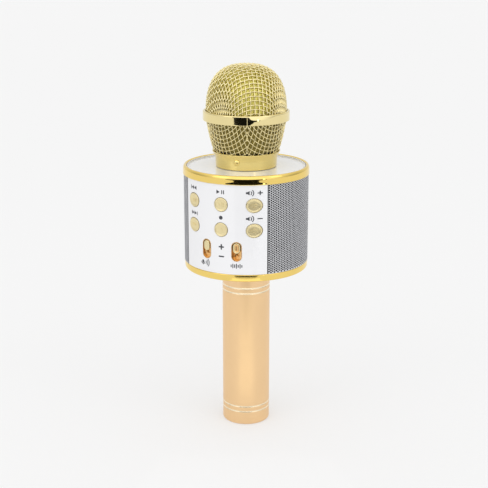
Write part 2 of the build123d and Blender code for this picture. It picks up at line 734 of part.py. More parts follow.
def head_collar():
    """A nearly straight collar that flares outward to take the foot of the cup mesh."""
    base, waist = (COLLAR_BASE_R, 0, COLLAR_BASE_Z), (COLLAR_WAIST_R, 0, COLLAR_WAIST_Z)
    lip, seat_top = (COLLAR_TOP_R, 0, COLLAR_TOP_Z), (cup_radius(COLLAR_TOP_Z) + 0.05, 0, COLLAR_TOP_Z)
    seat_foot = (CUP_BASE_R + 0.05, 0, CUP_BASE_Z - 0.05)
    bore_top, bore_foot = (COLLAR_BORE_R, 0, CUP_BASE_Z - 0.6), (COLLAR_BORE_R, 0, COLLAR_BASE_Z)
    along = (COLLAR_WAIST_R - COLLAR_BASE_R, 0, COLLAR_WAIST_Z - COLLAR_BASE_Z)
    straight = Polyline(lip, seat_top, seat_foot, bore_top, bore_foot, base, waist)
    body = revolve(make_face(Wire(straight.edges() + [TangentArc(waist, lip, tangent=along)])), Axis.Z)
    return body - collar_stud()


def collar_thread_ring():
    return ring(COLLAR_BORE_R, NECK_R + THREAD_GAP, COLLAR_BASE_Z + 0.3, CUP_BASE_Z - 0.9)


def cup_arc(inset):
    """The cup's slightly bulging wall line."""
    return ThreePointArc(
        (CUP_BASE_R - inset, 0, CUP_BASE_Z),
        (CUP_MIDDLE_R - inset, 0, CUP_MIDDLE_Z),
        (CUP_TOP_R - inset, 0, CUP_TOP_Z),
    )


def cup_radius(z, inset=0.0):
    """The cup's outer radius at a height."""
    level = Line((0, 0, z), (2 * CUP_TOP_R, 0, z))
    return cup_arc(inset).intersect(level)[0].X


def cup_mesh():
    """The woven lower half of the head, as a plain wall of the mesh's thickness."""
    outer, inner = cup_arc(0), cup_arc(MESH_T)
    ends = [Line(outer @ 0, inner @ 0), Line(outer @ 1, inner @ 1)]
    return revolve(make_face(Wire([outer, inner] + ends)), Axis.Z)


def dome_outline(inset, steps=10):
    """Points on the dome's superellipse, from its base to its top, set in by a distance."""
    out = []
    for i in range(steps + 1):
        angle = i / steps * math.pi / 2
        r = (DOME_R - inset) * math.cos(angle) ** (2 / DOME_POWER)
        z = DOME_BASE_Z + (DOME_H - inset) * math.sin(angle) ** (2 / DOME_POWER)
        out.append((r if i < steps else 0.0, 0, z))
    return out


def dome_shell(inset, thickness):
    outer = Spline(*dome_outline(inset), tangents=[(0, 0, 1), (-1, 0, 0)])
    inner = Spline(*dome_outline(inset + thickness), tangents=[(0, 0, 1), (-1, 0, 0)])
    sides = [Line(outer @ 0, inner @ 0), Line(outer @ 1, inner @ 1)]
    return revolve(make_face(Wire([outer, inner] + sides)), Axis.Z)


def head_band():
    """The flat band with rounded edges that clamps the two meshes together."""
    band = ring(BAND_R, BAND_BORE_R, *BAND_Z)
    for group, radius in ((0, BAND_LOW_ROUND), (-1, BAND_TOP_ROUND)):
        edge = band.edges().filter_by(GeomType.CIRCLE).group_by(Axis.Z)[group].sort_by(SortBy.RADIUS)[-1]
        band = fillet(edge, radius)
    return band


def foam_windscreen():
    """The foam liner: a cone inside the cup mesh that closes as a dome."""
    inset = MESH_T + 0.1 + GAUZE_T + FOAM_GAP
    base_z = CUP_BASE_Z + FOAM_LIFT
    outer_dome = Spline(*dome_outline(inset), tangents=[(0, 0, 1), (-1, 0, 0)])
    inner_dome = Spline(*dome_outline(inset + FOAM_T), tangents=[(0, 0, 1), (-1, 0, 0)])
    outer_r = cup_radius(base_z) - MESH_T - FOAM_GAP - 0.1
    outer_base = (outer_r, 0, base_z)
    inner_base = (outer_r - FOAM_T, 0, base_z)
    wire = Wire([
        outer_dome,
        inner_dome,
        Line(outer_dome @ 0, outer_base),
        Line(outer_base, inner_base),
        Line(inner_base, inner_dome @ 0),
        Line(outer_dome @ 1, inner_dome @ 1),
    ])
    return revolve(make_face(wire), Axis.Z)


# ---- write every node -----------------------------------------------------------------

os.makedirs("parts", exist_ok=True)

save("handle_tube", handle_tube())
save("end_cap", end_cap())
save("handle_coupling", handle_coupling())
save("battery_carrier", battery_carrier())
save("battery_cell", battery_cell())
save("battery_contacts", battery_contacts())
save("battery_leads", battery_leads())

save("bottom_rim", bottom_rim())
save("top_rim", top_rim())
save("bottom_cover", bottom_cover())
save("top_cover", top_cover())
save("front_panel", front_panel())
save("rear_panel", rear_panel())
save("right_grille", grille(0))
save("left_grille", grille(180))
save("grille_cloth", grille_cloth())

save("drum_chassis", drum_chassis())
save("chassis_screws", joined(SCREWS))
for name, sx in (("left", -1), ("right", 1)):
    save(f"{name}_speaker_frame", speaker_frame(sx))
    save(f"{name}_speaker_cone", speaker_cone(sx))
    save(f"{name}_speaker_magnet", speaker_magnet(sx))
save("speaker_leads", speaker_leads())

save("button_board", board(-1))
save("main_board", board(1))
save("board_chips", board_chips())
BUTTON_NAMES = (("previous", "play", "volume_up"), ("next", "record", "volume_down"))
switches = [push_switch(1, 0, MODE_Z)]
for names, z in zip(BUTTON_NAMES, BUTTON_ROWS_Z):
    for name, x in zip(names, BUTTON_COLUMNS_X):
        save(f"{name}_button", push_button(-1, x, z))
        switches.append(push_switch(-1, x, z))
save("tact_switches", joined(switches))
save("slide_pots", joined(slide_pot(x) for x in SLIDERS_X))
for name, x in zip(("mic_volume", "effect"), SLIDERS_X):
    save(f"{name}_bezel", slider_bezel(x))
    save(f"{name}_slider", slider_knob(x))

save("mode_button", push_button(1, 0, MODE_Z))
save("power_switch_body", power_switch_body())
save("power_switch_slider", power_switch_slider())
save("status_lights", status_lights())
save("charge_socket", charge_socket())
save("audio_jack", audio_jack())
save("card_socket", card_socket())

save("neck_spigot", neck_spigot())
save("capsule_post", capsule_post())
save("capsule_holder", capsule_holder())
save("mic_capsule", mic_capsule())
save("microphone_lead", microphone_lead())

save("head_collar", head_collar())
save("collar_thread_ring", collar_thread_ring())
save("collar_stud", collar_stud())
save("cup_mesh", cup_mesh())
save("head_band", head_band())
save("dome_mesh", dome_shell(0, MESH_T))
save("dome_gauze", dome_shell(MESH_T + 0.1, GAUZE_T))
save("foam_windscreen", foam_windscreen())
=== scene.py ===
import json
import math
from itertools import groupby

import bmesh
import bpy
import numpy as np
from mathutils import Matrix, Vector, geometry, noise


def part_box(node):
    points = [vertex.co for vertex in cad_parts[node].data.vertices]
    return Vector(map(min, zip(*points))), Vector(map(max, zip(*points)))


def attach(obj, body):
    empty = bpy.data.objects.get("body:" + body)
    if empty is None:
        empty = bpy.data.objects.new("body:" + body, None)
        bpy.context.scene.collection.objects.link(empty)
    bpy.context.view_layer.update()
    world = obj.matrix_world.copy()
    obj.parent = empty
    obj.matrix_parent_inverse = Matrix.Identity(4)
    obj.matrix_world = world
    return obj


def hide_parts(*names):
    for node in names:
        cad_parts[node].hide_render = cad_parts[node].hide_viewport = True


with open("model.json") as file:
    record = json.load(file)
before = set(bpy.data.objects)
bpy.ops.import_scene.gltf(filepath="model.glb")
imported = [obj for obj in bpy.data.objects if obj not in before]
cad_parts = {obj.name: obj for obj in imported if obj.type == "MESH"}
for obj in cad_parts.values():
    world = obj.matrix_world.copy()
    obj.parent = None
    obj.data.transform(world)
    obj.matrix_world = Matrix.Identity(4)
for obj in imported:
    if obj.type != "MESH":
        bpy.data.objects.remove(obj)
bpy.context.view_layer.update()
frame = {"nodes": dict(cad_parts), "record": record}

# Karaoke microphone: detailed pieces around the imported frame. Lengths are millimetres
# until piece() turns them into metres. +Z is up the handle and -Y is the control panel.

MM = 0.001


def span(node):
    """Lowest and highest corner of a CAD node, in millimetres."""
    low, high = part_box(node)
    return low / MM, high / MM


# ---- sizes ----

HANDLE_R = span("handle_tube")[1].x
HANDLE_TOP_Z = span("handle_tube")[1].z
HANDLE_BORE_R = 14.0
GROOVES_Z = (9.4, 12.95, 92.8, 96.3)
GROOVE_HALF_W = 0.5
GROOVE_DEPTH = 0.2

RIM_R = span("top_rim")[1].x
DRUM_TOP_Z = span("top_rim")[1].z
DRUM_BOTTOM_Z = span("bottom_rim")[0].z
SHELL_R = 40.4
PANEL_LOW_Z = span("front_panel")[0].z
PANEL_TOP_Z = span("front_panel")[1].z
PANEL_HALF = math.radians(42.8)
PANEL_T = 2.0
SEAM = math.radians(0.8)
GRILLE_T = 0.6
TOP_FACE_Z = span("top_cover")[1].z
COVER_R = span("top_cover")[1].x

BUTTON_R = 4.38
BUTTON_GAP = 0.2
BUTTON_COLUMNS_X = (-20.5, 0.45, 20.5)
BUTTON_Z = (158.1, 142.1)
MODE_Z = 143.0
SLIDERS_X = (-9.95, 10.4)
SLIDER_Z = 128.45
SLOT = (12.7, 6.4)
KNOB = (6.9, 4.6)
KNOB_Z = SLIDER_Z + 2.2
SWITCH_Z = 155.0
SWITCH_SLOT = (8.4, 3.8)
LIGHT_X = 4.0
LIGHT_Z = 164.0
SOCKET_Z = 124.0
JACK_X = -11.0
CARD_X = 12.0

NECK_R = 16.9
COLLAR_BASE_Z = span("head_collar")[0].z
COLLAR_TOP_Z = span("head_collar")[1].z
COLLAR_BASE_R = 19.65
COLLAR_WAIST_R = 19.95
COLLAR_WAIST_Z = 180.5
COLLAR_TOP_R = 22.1
COLLAR_BORE_R = 18.6
STUD_DEG = 6.0
STUD_Z = 180.7
CUP_POINTS = ((21.05, 184.6), (24.2, 196.0), (26.15, 207.6))
SEAM_AZIMUTH = math.radians(24.9 - 90.0)
BAND_LOW_Z, BAND_TOP_Z = (p.z for p in span("head_band"))
BAND_R = span("head_band")[1].x
BAND_BORE_R = 26.35
DOME_BASE_Z = 208.0
DOME_R = 26.2
DOME_H = span("dome_mesh")[1].z - DOME_BASE_Z
DOME_POWER = 2.65

# ---- materials ----

LOOKS = {}


def tinted(colour, factor):
    return tuple(min(1.0, c * factor) for c in colour)


def add_node(tree, kind, inputs=None, **settings):
    """A shader node with its settings, whose inputs are values or links from other nodes."""
    made = tree.nodes.new(kind)
    for name, value in settings.items():
        setattr(made, name, value)
    for name, value in (inputs or {}).items():
        if isinstance(value, bpy.types.NodeSocket):
            tree.links.new(value, made.inputs[name])
        else:
            made.inputs[name].default_value = value
    return made


class Look:
    """A principled material, kept in LOOKS, and the few node steps that every surface here uses."""

    def __init__(self, name, **settings):
        self.material = bpy.data.materials.new(name)
        LOOKS[name] = self.material
        self.material.use_nodes = True
        self.tree = self.material.node_tree
        self.shader = self.tree.nodes["Principled BSDF"]
        for socket, value in settings.items():
            self.shader.inputs[socket.replace("_", " ")].default_value = value
        self.place = self.node("ShaderNodeTexCoord").outputs["Object"]

    def node(self, kind, inputs=None, **settings):
        return add_node(self.tree, kind, inputs, **settings)

    def stretched(self, scale):
        """Object coordinates scaled differently along each axis."""
        return self.node("ShaderNodeMapping", {"Vector": self.place, "Scale": scale}).outputs["Vector"]

    def grain(self, scale, detail=3.0, roughness=0.55, vector=None):
        inputs = {"Vector": vector or self.place, "Scale": scale, "Detail": detail, "Roughness": roughness}
        return self.node("ShaderNodeTexNoise", inputs).outputs["Fac"]

    def ramp(self, value, *stops):
        """Colours or grey levels placed along a value."""
        made = self.node("ShaderNodeValToRGB", {"Fac": value})
        points = made.color_ramp.elements
        while len(points) < len(stops):
            points.new(0.5)
        for point, (where, colour) in zip(points, stops):
            point.position = where
            point.color = tuple(colour) + (1.0,) if isinstance(colour, tuple) else (colour,) * 3 + (1.0,)
        return made.outputs["Color"]

    def feed(self, socket, value):
        self.tree.links.new(value, self.shader.inputs[socket])

    def bump(self, height, strength, distance):
        inputs = {"Height": height, "Strength": strength, "Distance": distance * MM}
        self.feed("Normal", self.node("ShaderNodeBump", inputs).outputs["Normal"])

    def mottle(self, colour, wear, scale, detail, edge):
        """A base colour that wanders a little to either side of its own value."""
        cloud = self.grain(scale, detail)
        darker, lighter = tinted(colour, 1 - wear), tinted(colour, 1 + wear)
        self.feed("Base Color", self.ramp(cloud, (edge, darker), (1 - edge, lighter)))

    def polish(self, scale, low, high, **more):
        """Roughness that varies between two values with a fine grain, which it returns."""
        fine = self.grain(scale, **more)
        self.feed("Roughness", self.ramp(fine, (0.3, low), (0.7, high)))
        return fine


def metal(name, colour, rough, spread=0.04, grain_scale=900.0, wear=0.06, bump=0.0, stretch=(1, 1, 1)):
    """Plated or turned metal: slightly uneven tone and polish, with optional fine turning marks."""
    look = Look(name, Metallic=1.0)
    look.mottle(colour, wear, 55.0, 4.0, 0.25)
    smooth = max(0.02, rough - spread)
    fine = look.polish(grain_scale, smooth, rough + spread, detail=2.0, vector=look.stretched(stretch))
    if bump:
        look.bump(fine, bump, 0.02)


def plastic(name, colour, rough, wear=0.03, bump=0.05, grain_scale=1400.0, coat=0.0):
    """Moulded plastic with a faint skin texture."""
    look = Look(name, Coat_Weight=coat, Coat_Roughness=0.05)
    look.mottle(colour, wear, 40.0, 3.0, 0.3)
    fine = look.polish(grain_scale, rough * 0.85, min(1.0, rough * 1.15))
    look.bump(fine, bump, 0.02)


def gauze_look():
    """Fine woven gauze: crossing wires drawn as two sets of ridges in tone and height."""
    look = Look("gold_gauze", Metallic=0.9)
    ridges = []
    for turn in (math.radians(36), math.radians(126)):
        turned = look.node("ShaderNodeMapping", {"Vector": look.place, "Rotation": (0.0, 0.0, turn)})
        inputs = {"Vector": turned.outputs["Vector"], "Scale": 420.0, "Distortion": 1.2, "Detail": 1.0}
        ridges.append(look.node("ShaderNodeTexWave", inputs, bands_direction="X").outputs["Fac"])
    weave = look.node("ShaderNodeMath", {0: ridges[0], 1: ridges[1]}, operation="MAXIMUM").outputs["Value"]
    look.feed("Base Color", look.ramp(weave, (0.2, (0.34, 0.29, 0.05)), (0.8, (0.74, 0.66, 0.17))))
    look.polish(300.0, 0.38, 0.55)
    look.bump(weave, 0.5, 0.08)


def foam_look():
    """Open-cell foam: dark, with pores."""
    look = Look("foam", Sheen_Weight=0.2, Sheen_Roughness=0.6)
    pores = look.node("ShaderNodeTexVoronoi", {"Vector": look.place, "Scale": 1500.0}, feature="F1")
    distance = pores.outputs["Distance"]
    look.feed("Base Color", look.ramp(distance, (0.1, (0.060, 0.044, 0.006)), (0.7, (0.31, 0.24, 0.034))))
    look.polish(500.0, 0.85, 1.0)
    look.bump(distance, 0.6, 0.2)


def cloth_look():
    """Black speaker cloth with upright threads."""
    look = Look("acoustic_cloth", Sheen_Weight=0.15)
    inputs = {"Vector": look.place, "Scale": 700.0}
    threads = look.node("ShaderNodeTexWave", inputs, bands_direction="Z").outputs["Fac"]
    look.feed("Base Color", look.ramp(threads, (0.2, (0.012, 0.012, 0.014)), (0.8, (0.026, 0.027, 0.030))))
    look.polish(400.0, 0.8, 0.95)
    look.bump(threads, 0.4, 0.05)


def board_look():
    """Green circuit board with a net of paler traces."""
    look = Look("circuit_board")
    traces = look.node("ShaderNodeTexBrick", {
        "Vector": look.stretched((260.0, 260.0, 260.0)),
        "Color1": (0.010, 0.075, 0.035, 1.0),
        "Color2": (0.012, 0.090, 0.045, 1.0),
        "Mortar": (0.030, 0.160, 0.080, 1.0),
        "Mortar Size": 0.03,
    })
    look.feed("Base Color", traces.outputs["Color"])
    look.polish(200.0, 0.30, 0.42)


CHAMPAGNE = (0.86, 0.73, 0.37)
YELLOW_GOLD = (0.90, 0.66, 0.19)
PALE_GOLD = (0.84, 0.72, 0.42)
TRAY_GOLD = (0.84, 0.53, 0.23)
HANDLE_GOLD = (0.895, 0.625, 0.350)
NEAR_WHITE = (0.825, 0.825, 0.84)

# name, colour, roughness, its spread, grain scale, wear, bump, stretch of the grain
metal("anodised_handle", HANDLE_GOLD, 0.38, 0.05, 2200.0, 0.02, 0.10, (1, 1, 6))
metal("groove_polish", (0.96, 0.84, 0.62), 0.25, 0.04, 900.0, 0.02)
metal("tray_gold", TRAY_GOLD, 0.30, 0.04, 800.0, 0.04)
metal("plated_rim", YELLOW_GOLD, 0.07, 0.02, 500.0, 0.03)
metal("plated_metal", CHAMPAGNE, 0.07, 0.02, 500.0, 0.03)
metal("plated_collar", (0.84, 0.675, 0.26), 0.09, 0.03, 500.0, 0.05)
metal("gold_mesh", (0.91, 0.80, 0.45), 0.16, 0.05, 700.0, 0.06)
metal("plated_button", PALE_GOLD, 0.40, 0.03, 800.0, 0.04)
metal("grille_sheet", (0.70, 0.705, 0.73), 0.46, 0.05, 900.0, 0.03)
# The grille's hole walls and cut edges: painted dark, as shade inside the holes.
metal("grille_wall_shade", (0.15, 0.15, 0.16), 0.60, 0.05, 900.0, 0.05)
metal("steel", (0.62, 0.62, 0.63), 0.25, 0.06)
metal("nickel", (0.72, 0.69, 0.62), 0.22, 0.05)
# name, colour, roughness, wear, bump, grain scale, clear coat
plastic("white_shell", NEAR_WHITE, 0.22, 0.008, 0.01, 900.0, 0.3)
plastic("cover_gloss", (0.87, 0.87, 0.865), 0.09, 0.008, 0.0, 900.0, 0.5)
plastic("black_plastic", (0.020, 0.020, 0.022), 0.45)
plastic("chip_plastic", (0.030, 0.030, 0.032), 0.5)
plastic("ferrite", (0.045, 0.043, 0.042), 0.7, 0.1, 0.3, 600.0)
plastic("speaker_paper", (0.060, 0.055, 0.050), 0.85, 0.15, 0.5, 500.0)
plastic("rubber", (0.018, 0.018, 0.018), 0.8, 0.05, 0.2)
plastic("cell_wrap", (0.055, 0.16, 0.36), 0.35, 0.05)
plastic("lead_insulation", (0.45, 0.045, 0.035), 0.5, 0.04)
plastic("light_pipe", (0.55, 0.66, 0.78), 0.15, 0.02, 0.0)
plastic("print", (0.045, 0.047, 0.055), 0.5, 0.05, 0.1)
gauze_look()
foam_look()
cloth_look()
board_look()

SLOT_OF = {part["node"]: part["material_slot"] for part in frame["record"]["subparts"]}


def dress_frame():
    """Gives every CAD node that stays visible, or could be seen, its procedural look."""
    for name, node in frame["nodes"].items():
        if not node.material_slots:
            node.data.materials.append(None)
        for place in node.material_slots:
            place.link = "OBJECT"
            place.material = LOOKS[SLOT_OF[name]]


# ---- mesh helpers ----


def placed(name, data):
    """A new object in the scene."""
    made = bpy.data.objects.new(name, data)
    bpy.context.scene.collection.objects.link(made)
    return made


def piece(name, shape, body, nodes=(), slot=None, looks=None, look_of=None, sharp_deg=35, solid=True):
    """A mesh piece from (points, faces) in millimetres. It rides on a body and stands for CAD nodes."""
    points, faces = shape
    mesh = bpy.data.meshes.new(name)
    mesh.from_pydata([(x * MM, y * MM, z * MM) for x, y, z in points], [], faces)
    for look in looks or [slot]:
        mesh.materials.append(LOOKS[look])
    if look_of:
        mesh.polygons.foreach_set("material_index", look_of)
    if solid:
        work = bmesh.new()
        work.from_mesh(mesh)
        bmesh.ops.recalc_face_normals(work, faces=work.faces)
        work.to_mesh(mesh)
        work.free()
    mesh.polygons.foreach_set("use_smooth", [True] * len(mesh.polygons))
    mesh.set_sharp_from_angle(angle=math.radians(sharp_deg))
    mesh.update()
    made = placed(name, mesh)
    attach(made, body)
    if nodes:
        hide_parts(*nodes)
    return made


def weighted(made):
    """Keeps wide faces flat in shading beside their small rounded edges."""
    shading = made.modifiers.new("flat_faces", "WEIGHTED_NORMAL")
    shading.keep_sharp = True
    return made


def polar(radius, angle):
    return radius * math.cos(angle), radius * math.sin(angle)


def quarter_turn(steps):
    """Evenly spaced angles from zero to a right angle."""
    return [math.pi / 2 * k / steps for k in range(steps + 1)]


def rounded(corners, steps=5):
    """An outline from (a, b, radius) corners, each turned into an arc."""
    out = []
    count = len(corners)
    for i, (a, b, radius) in enumerate(corners):
        here = Vector((a, b))
        if radius <= 0:
            out.append(here)
            continue
        back = (Vector(corners[i - 1][:2]) - here).normalized()
        ahead = (Vector(corners[(i + 1) % count][:2]) - here).normalized()
        half = math.acos(max(-1.0, min(1.0, back.dot(ahead)))) / 2
        reach = radius / math.tan(half)
        centre = here + (back + ahead).normalized() * (radius / math.sin(half))
        start = here + back * reach - centre
        turn = start.angle_signed(here + ahead * reach - centre)
        for k in range(steps + 1):
            out.append(centre + Matrix.Rotation(-turn * k / steps, 2) @ start)
    return [(p.x, p.y) for p in out]


def lathe_mesh(outline, steps=160):
    """Points and faces of a closed (radius, height) outline turned about Z."""
    points, rows = [], []
    for r, z in outline:
        if r < 1e-6:
            rows.append([len(points)] * steps)
            points.append((0.0, 0.0, z))
            continue
        rows.append(list(range(len(points), len(points) + steps)))
        points += [(*polar(r, 2 * math.pi * k / steps), z) for k in range(steps)]
    faces = []
    for i, row in enumerate(rows):
        following = rows[(i + 1) % len(rows)]
        if row[0] == row[1] and following[0] == following[1]:
            continue
        for k in range(steps):
            m = (k + 1) % steps
            face = list(dict.fromkeys([row[k], row[m], following[m], following[k]]))
            if len(face) > 2:
                faces.append(face)
    return points, faces


def lathe(name, outline, body, nodes, slot, steps=160, **more):
    return weighted(piece(name, lathe_mesh(outline, steps), body, nodes, slot, **more))


def lofted(loops, capped=False, closed=False):
    """Faces between loops that have the same number of points."""
    size = len(loops[0])
    points = [p for loop in loops for p in loop]
    faces = []
    pairs = list(range(len(loops) - 1)) + ([len(loops) - 1] if closed else [])
    for i in pairs:
        j = (i + 1) % len(loops)
        for k in range(size):
            m = (k + 1) % size
            faces.append([i * size + k, i * size + m, j * size + m, j * size + k])
    if capped:
        last = (len(loops) - 1) * size
        faces.append(list(range(size))[::-1])
        faces.append([last + k for k in range(size)])
    return points, faces


def merged(parts):
    """Several (points, faces) sets as one."""
    points, faces = [], []
    for more_points, more_faces in parts:
        start = len(points)
        points += more_points
        faces += [[start + i for i in face] for face in more_faces]
    return points, faces


def circle(radius, count=40, x=0.0, z=0.0):
    turns = (polar(radius, 2 * math.pi * k / count) for k in range(count))
    return [(x + a, z + b) for a, b in turns]


def stadium(tall, wide, x=0.0, z=0.0, per_end=12, upright=True):
    """A round-ended slot, always with the same number of points."""
    tall, wide = max(tall, wide), min(tall, wide)
    half = (tall - wide) / 2
    out = []
    for end in (1, -1):
        for k in range(per_end + 1):
            a, b = polar(wide / 2, math.pi * k / per_end + (0 if end > 0 else math.pi))
            out.append((a, b + end * half))
    if not upright:
        out = [(-b, a) for a, b in out]
    return [(x + a, z + b) for a, b in out]


def block(x, z, half_wide, half_tall):
    return [(x - half_wide, z - half_tall), (x + half_wide, z - half_tall),
            (x + half_wide, z + half_tall), (x - half_wide, z + half_tall)]


def on_drum(side, loop, radius):
    """Lays (x, z) points on the drum's cylinder, in front (-1) or behind (1)."""
    return [(x, side * math.sqrt(radius * radius - x * x), z) for x, z in loop]


def on_plane(side, loop, distance):
    return [(x, side * distance, z) for x, z in loop]


def prism(side, loop, near, far, top=None):
    """A straight-sided solid between two distances from the drum's middle plane."""
    return lofted([on_plane(side, loop, near), on_plane(side, top or loop, far)], capped=True)


def grown(loop, amount):
    """A loop moved outward by an amount, about its own middle."""
    cx = sum(p[0] for p in loop) / len(loop)
    cz = sum(p[1] for p in loop) / len(loop)
    out = []
    for i, (x, z) in enumerate(loop):
        before, after = Vector(loop[i - 1]), Vector(loop[(i + 1) % len(loop)])
        along = (after - before).normalized()
        normal = Vector((along.y, -along.x))
        if normal.dot(Vector((x - cx, z - cz))) < 0:
            normal.negate()
        out.append((x + normal.x * amount, z + normal.y * amount))
    return out


def inside(point, loop):
    """True when a point lies in a convex or star-shaped loop."""
    x, z = point
    hit = False
    for i, (xa, za) in enumerate(loop):
        xb, zb = loop[i - 1]
        if (za > z) != (zb > z) and x < (xb - xa) * (z - za) / (zb - za) + xa:
            hit = not hit
    return hit


def filled(outer, holes, spacing, keep_off):
    """Triangles of an outline with holes, with an even net of points inside it."""
    points = list(outer)
    edges = [(i, (i + 1) % len(outer)) for i in range(len(outer))]
    for hole in holes:
        start = len(points)
        points += hole
        edges += [(start + i, start + (i + 1) % len(hole)) for i in range(len(hole))]
    walls = [grown(hole, keep_off) for hole in holes]
    inner = grown(outer, -keep_off)
    xs = [p[0] for p in outer]
    zs = [p[1] for p in outer]
    for i in range(1, int((max(xs) - min(xs)) / spacing) + 1):
        for k in range(1, int((max(zs) - min(zs)) / spacing) + 1):
            spot = (min(xs) + i * spacing, min(zs) + k * spacing)
            if inside(spot, inner) and not any(inside(spot, wall) for wall in walls):
                points.append(spot)
    made = geometry.delaunay_2d_cdt([Vector(p) for p in points], edges, [], 0, 1e-7)
    first_of = [ids[0] for ids in made[3]]
    triangles = []
    for face in made[2]:
        corners = [first_of[i] for i in face]
        middle = (sum(points[i][0] for i in corners) / 3, sum(points[i][1] for i in corners) / 3)
        if inside(middle, outer) and not any(inside(middle, hole) for hole in holes):
            triangles.append(corners)
    return points, triangles


# ---- handle and drum shell ----


def build_handle():
    """The anodised tube, with a rounded foot and bright diamond-cut grooves."""
    outline = rounded([
        (HANDLE_BORE_R, 0.0, 0.3),
        (HANDLE_R, 0.0, 1.4),
        (HANDLE_R, GROOVES_Z[0] - 2.0, 0.0),
    ], 8)
    lip, slope, nick = 0.12, 0.28, 0.03
    floor_r = HANDLE_R - GROOVE_DEPTH
    for z in GROOVES_Z:
        low, high = z - GROOVE_HALF_W, z + GROOVE_HALF_W
        outline += [(HANDLE_R, low - lip), (HANDLE_R - nick, low), (floor_r, low + slope)]
        outline += [(floor_r, high - slope), (HANDLE_R - nick, high), (HANDLE_R, high + lip)]
    outline += [(HANDLE_R, HANDLE_TOP_Z), (HANDLE_BORE_R, HANDLE_TOP_Z)]
    points, faces = lathe_mesh(outline, 192)
    bright = []
    for face in faces:
        z = sum(points[i][2] for i in face) / len(face)
        r = sum(math.hypot(points[i][0], points[i][1]) for i in face) / len(face)
        in_groove = any(abs(z - g) < GROOVE_HALF_W + 0.02 for g in GROOVES_Z)
        bright.append(1 if in_groove and r > HANDLE_R - 0.5 else 0)
    weighted(piece(
        "handle_tube_turned", (points, faces), "body", ["handle_tube"], "anodised_handle",
        looks=["anodised_handle", "groove_polish"], look_of=bright,
    ))


def build_rims():
    """The two plated rings: the upper with a domed top and a flared foot, the lower flush with the shell."""
    bore, steps = 38.5, 224
    dome_r, dome_h, crown_r = 1.38, 2.5, 39.5
    high = [(bore, 3.3), (bore, 0.6), (bore + 0.2, 0.3), (bore + 0.5, 0.1)]
    high += [(crown_r + dome_r * math.cos(a), dome_h * (1 - math.sin(a))) for a in reversed(quarter_turn(12))]
    high += [(40.885, 3.0), (40.89, 3.5), (40.90, 4.0), (40.92, 4.4), (40.955, 4.8), (RIM_R, 5.15)]
    high += [(RIM_R, 5.4), (40.93, 5.53), (40.8, 5.55), (40.5, 5.5), (40.5, 3.3)]
    high = [(r, DRUM_TOP_Z - h) for r, h in high]
    lathe("top_rim_plated", high, "body", ["top_rim"], "plated_rim", steps)
    height = span("bottom_rim")[1].z - DRUM_BOTTOM_Z
    low = rounded([(bore, 0.0, 0.2), (SHELL_R - 0.12, 0.0, 1.4), (SHELL_R - 0.02, height * 0.55, 0.0)], 8)
    low += [(SHELL_R, height * 0.7), (SHELL_R - 0.02, height - 0.45), (SHELL_R - 0.1, height - 0.18)]
    low += [(SHELL_R - 0.32, height), (bore, height)]
    low = [(r, DRUM_BOTTOM_Z + h) for r, h in low]
    lathe("bottom_rim_plated", low, "body", ["bottom_rim"], "plated_rim", steps)


def build_top_cover():
    """The glossy white dish inside the top rim."""
    bore, edge_t, plate_t = NECK_R + 0.1, 0.6, 2.2
    plate_z = TOP_FACE_Z - 0.9
    outline = rounded([
        (bore, plate_z - plate_t, 0.0),
        (COVER_R, plate_z - plate_t, 0.1),
        (COVER_R, TOP_FACE_Z, 0.2),
        (COVER_R - edge_t, TOP_FACE_Z, 0.2),
        (COVER_R - edge_t, plate_z, 0.35),
        (bore, plate_z, 0.2),
    ], 5)
    lathe("top_cover_gloss", outline, "body", ["top_cover"], "white_shell", 192, looks=["cover_gloss"])


def panel_outline(half, low, high, inset):
    """The panel's border in (angle x radius, z), with points along it."""
    u, z0, z1 = half * SHELL_R - inset, low + inset, high - inset
    steps = [k / 40 for k in range(40)]
    out = [(-u + 2 * u * k, z0) for k in steps]
    out += [(u, z0 + (z1 - z0) * k) for k in steps]
    out += [(u - 2 * u * k, z1) for k in steps]
    out += [(-u, z1 - (z1 - z0) * k) for k in steps]
    return out


def build_panel(name, side, node, holes):
    """A curved shell panel whose openings and border have small rounded edges."""
    soft = 0.22
    layers = [(soft * (1 - math.sin(a)), soft * (1 - math.cos(a))) for a in quarter_turn(3)[1:]]
    layers.append((0.0, PANEL_T))
    flat_holes = [[(SHELL_R * math.asin(x / SHELL_R), z) for x, z in grown(hole, soft)] for hole in holes]
    border = panel_outline(PANEL_HALF, PANEL_LOW_Z, PANEL_TOP_Z, soft)
    flat, triangles = filled(border, flat_holes, 2.1, 0.9)

    def lay(u, z, radius):
        angle = u / SHELL_R
        return (radius * math.sin(angle), side * radius * math.cos(angle), z)

    points = [lay(u, z, SHELL_R) for u, z in flat]
    faces = list(triangles)
    rings = []
    for grow, depth in layers:
        radius = SHELL_R - depth
        ring = [lay(u, z, radius) for u, z in panel_outline(PANEL_HALF, PANEL_LOW_Z, PANEL_TOP_Z, grow)]
        for hole in holes:
            ring += on_drum(side, grown(hole, grow), radius)
        rings.append(ring)
    edge_count = len(rings[0])
    loops = [len(border)] + [len(hole) for hole in holes]
    previous = list(range(edge_count))
    for ring in rings:
        start = len(points)
        points += ring
        current = list(range(start, start + edge_count))
        offset = 0
        for size in loops:
            for k in range(size):
                a, b = offset + k, offset + (k + 1) % size
                faces.append([previous[a], previous[b], current[b], current[a]])
            offset += size
        previous = current
    start = len(points)
    points += [lay(u, z, SHELL_R - PANEL_T) for u, z in flat[edge_count:]]
    inner = {i: (previous[i] if i < edge_count else start + i - edge_count) for i in range(len(flat))}
    faces += [[inner[i] for i in reversed(face)] for face in triangles]
    weighted(piece(name, (points, faces), "body", [node], "white_shell", sharp_deg=50))


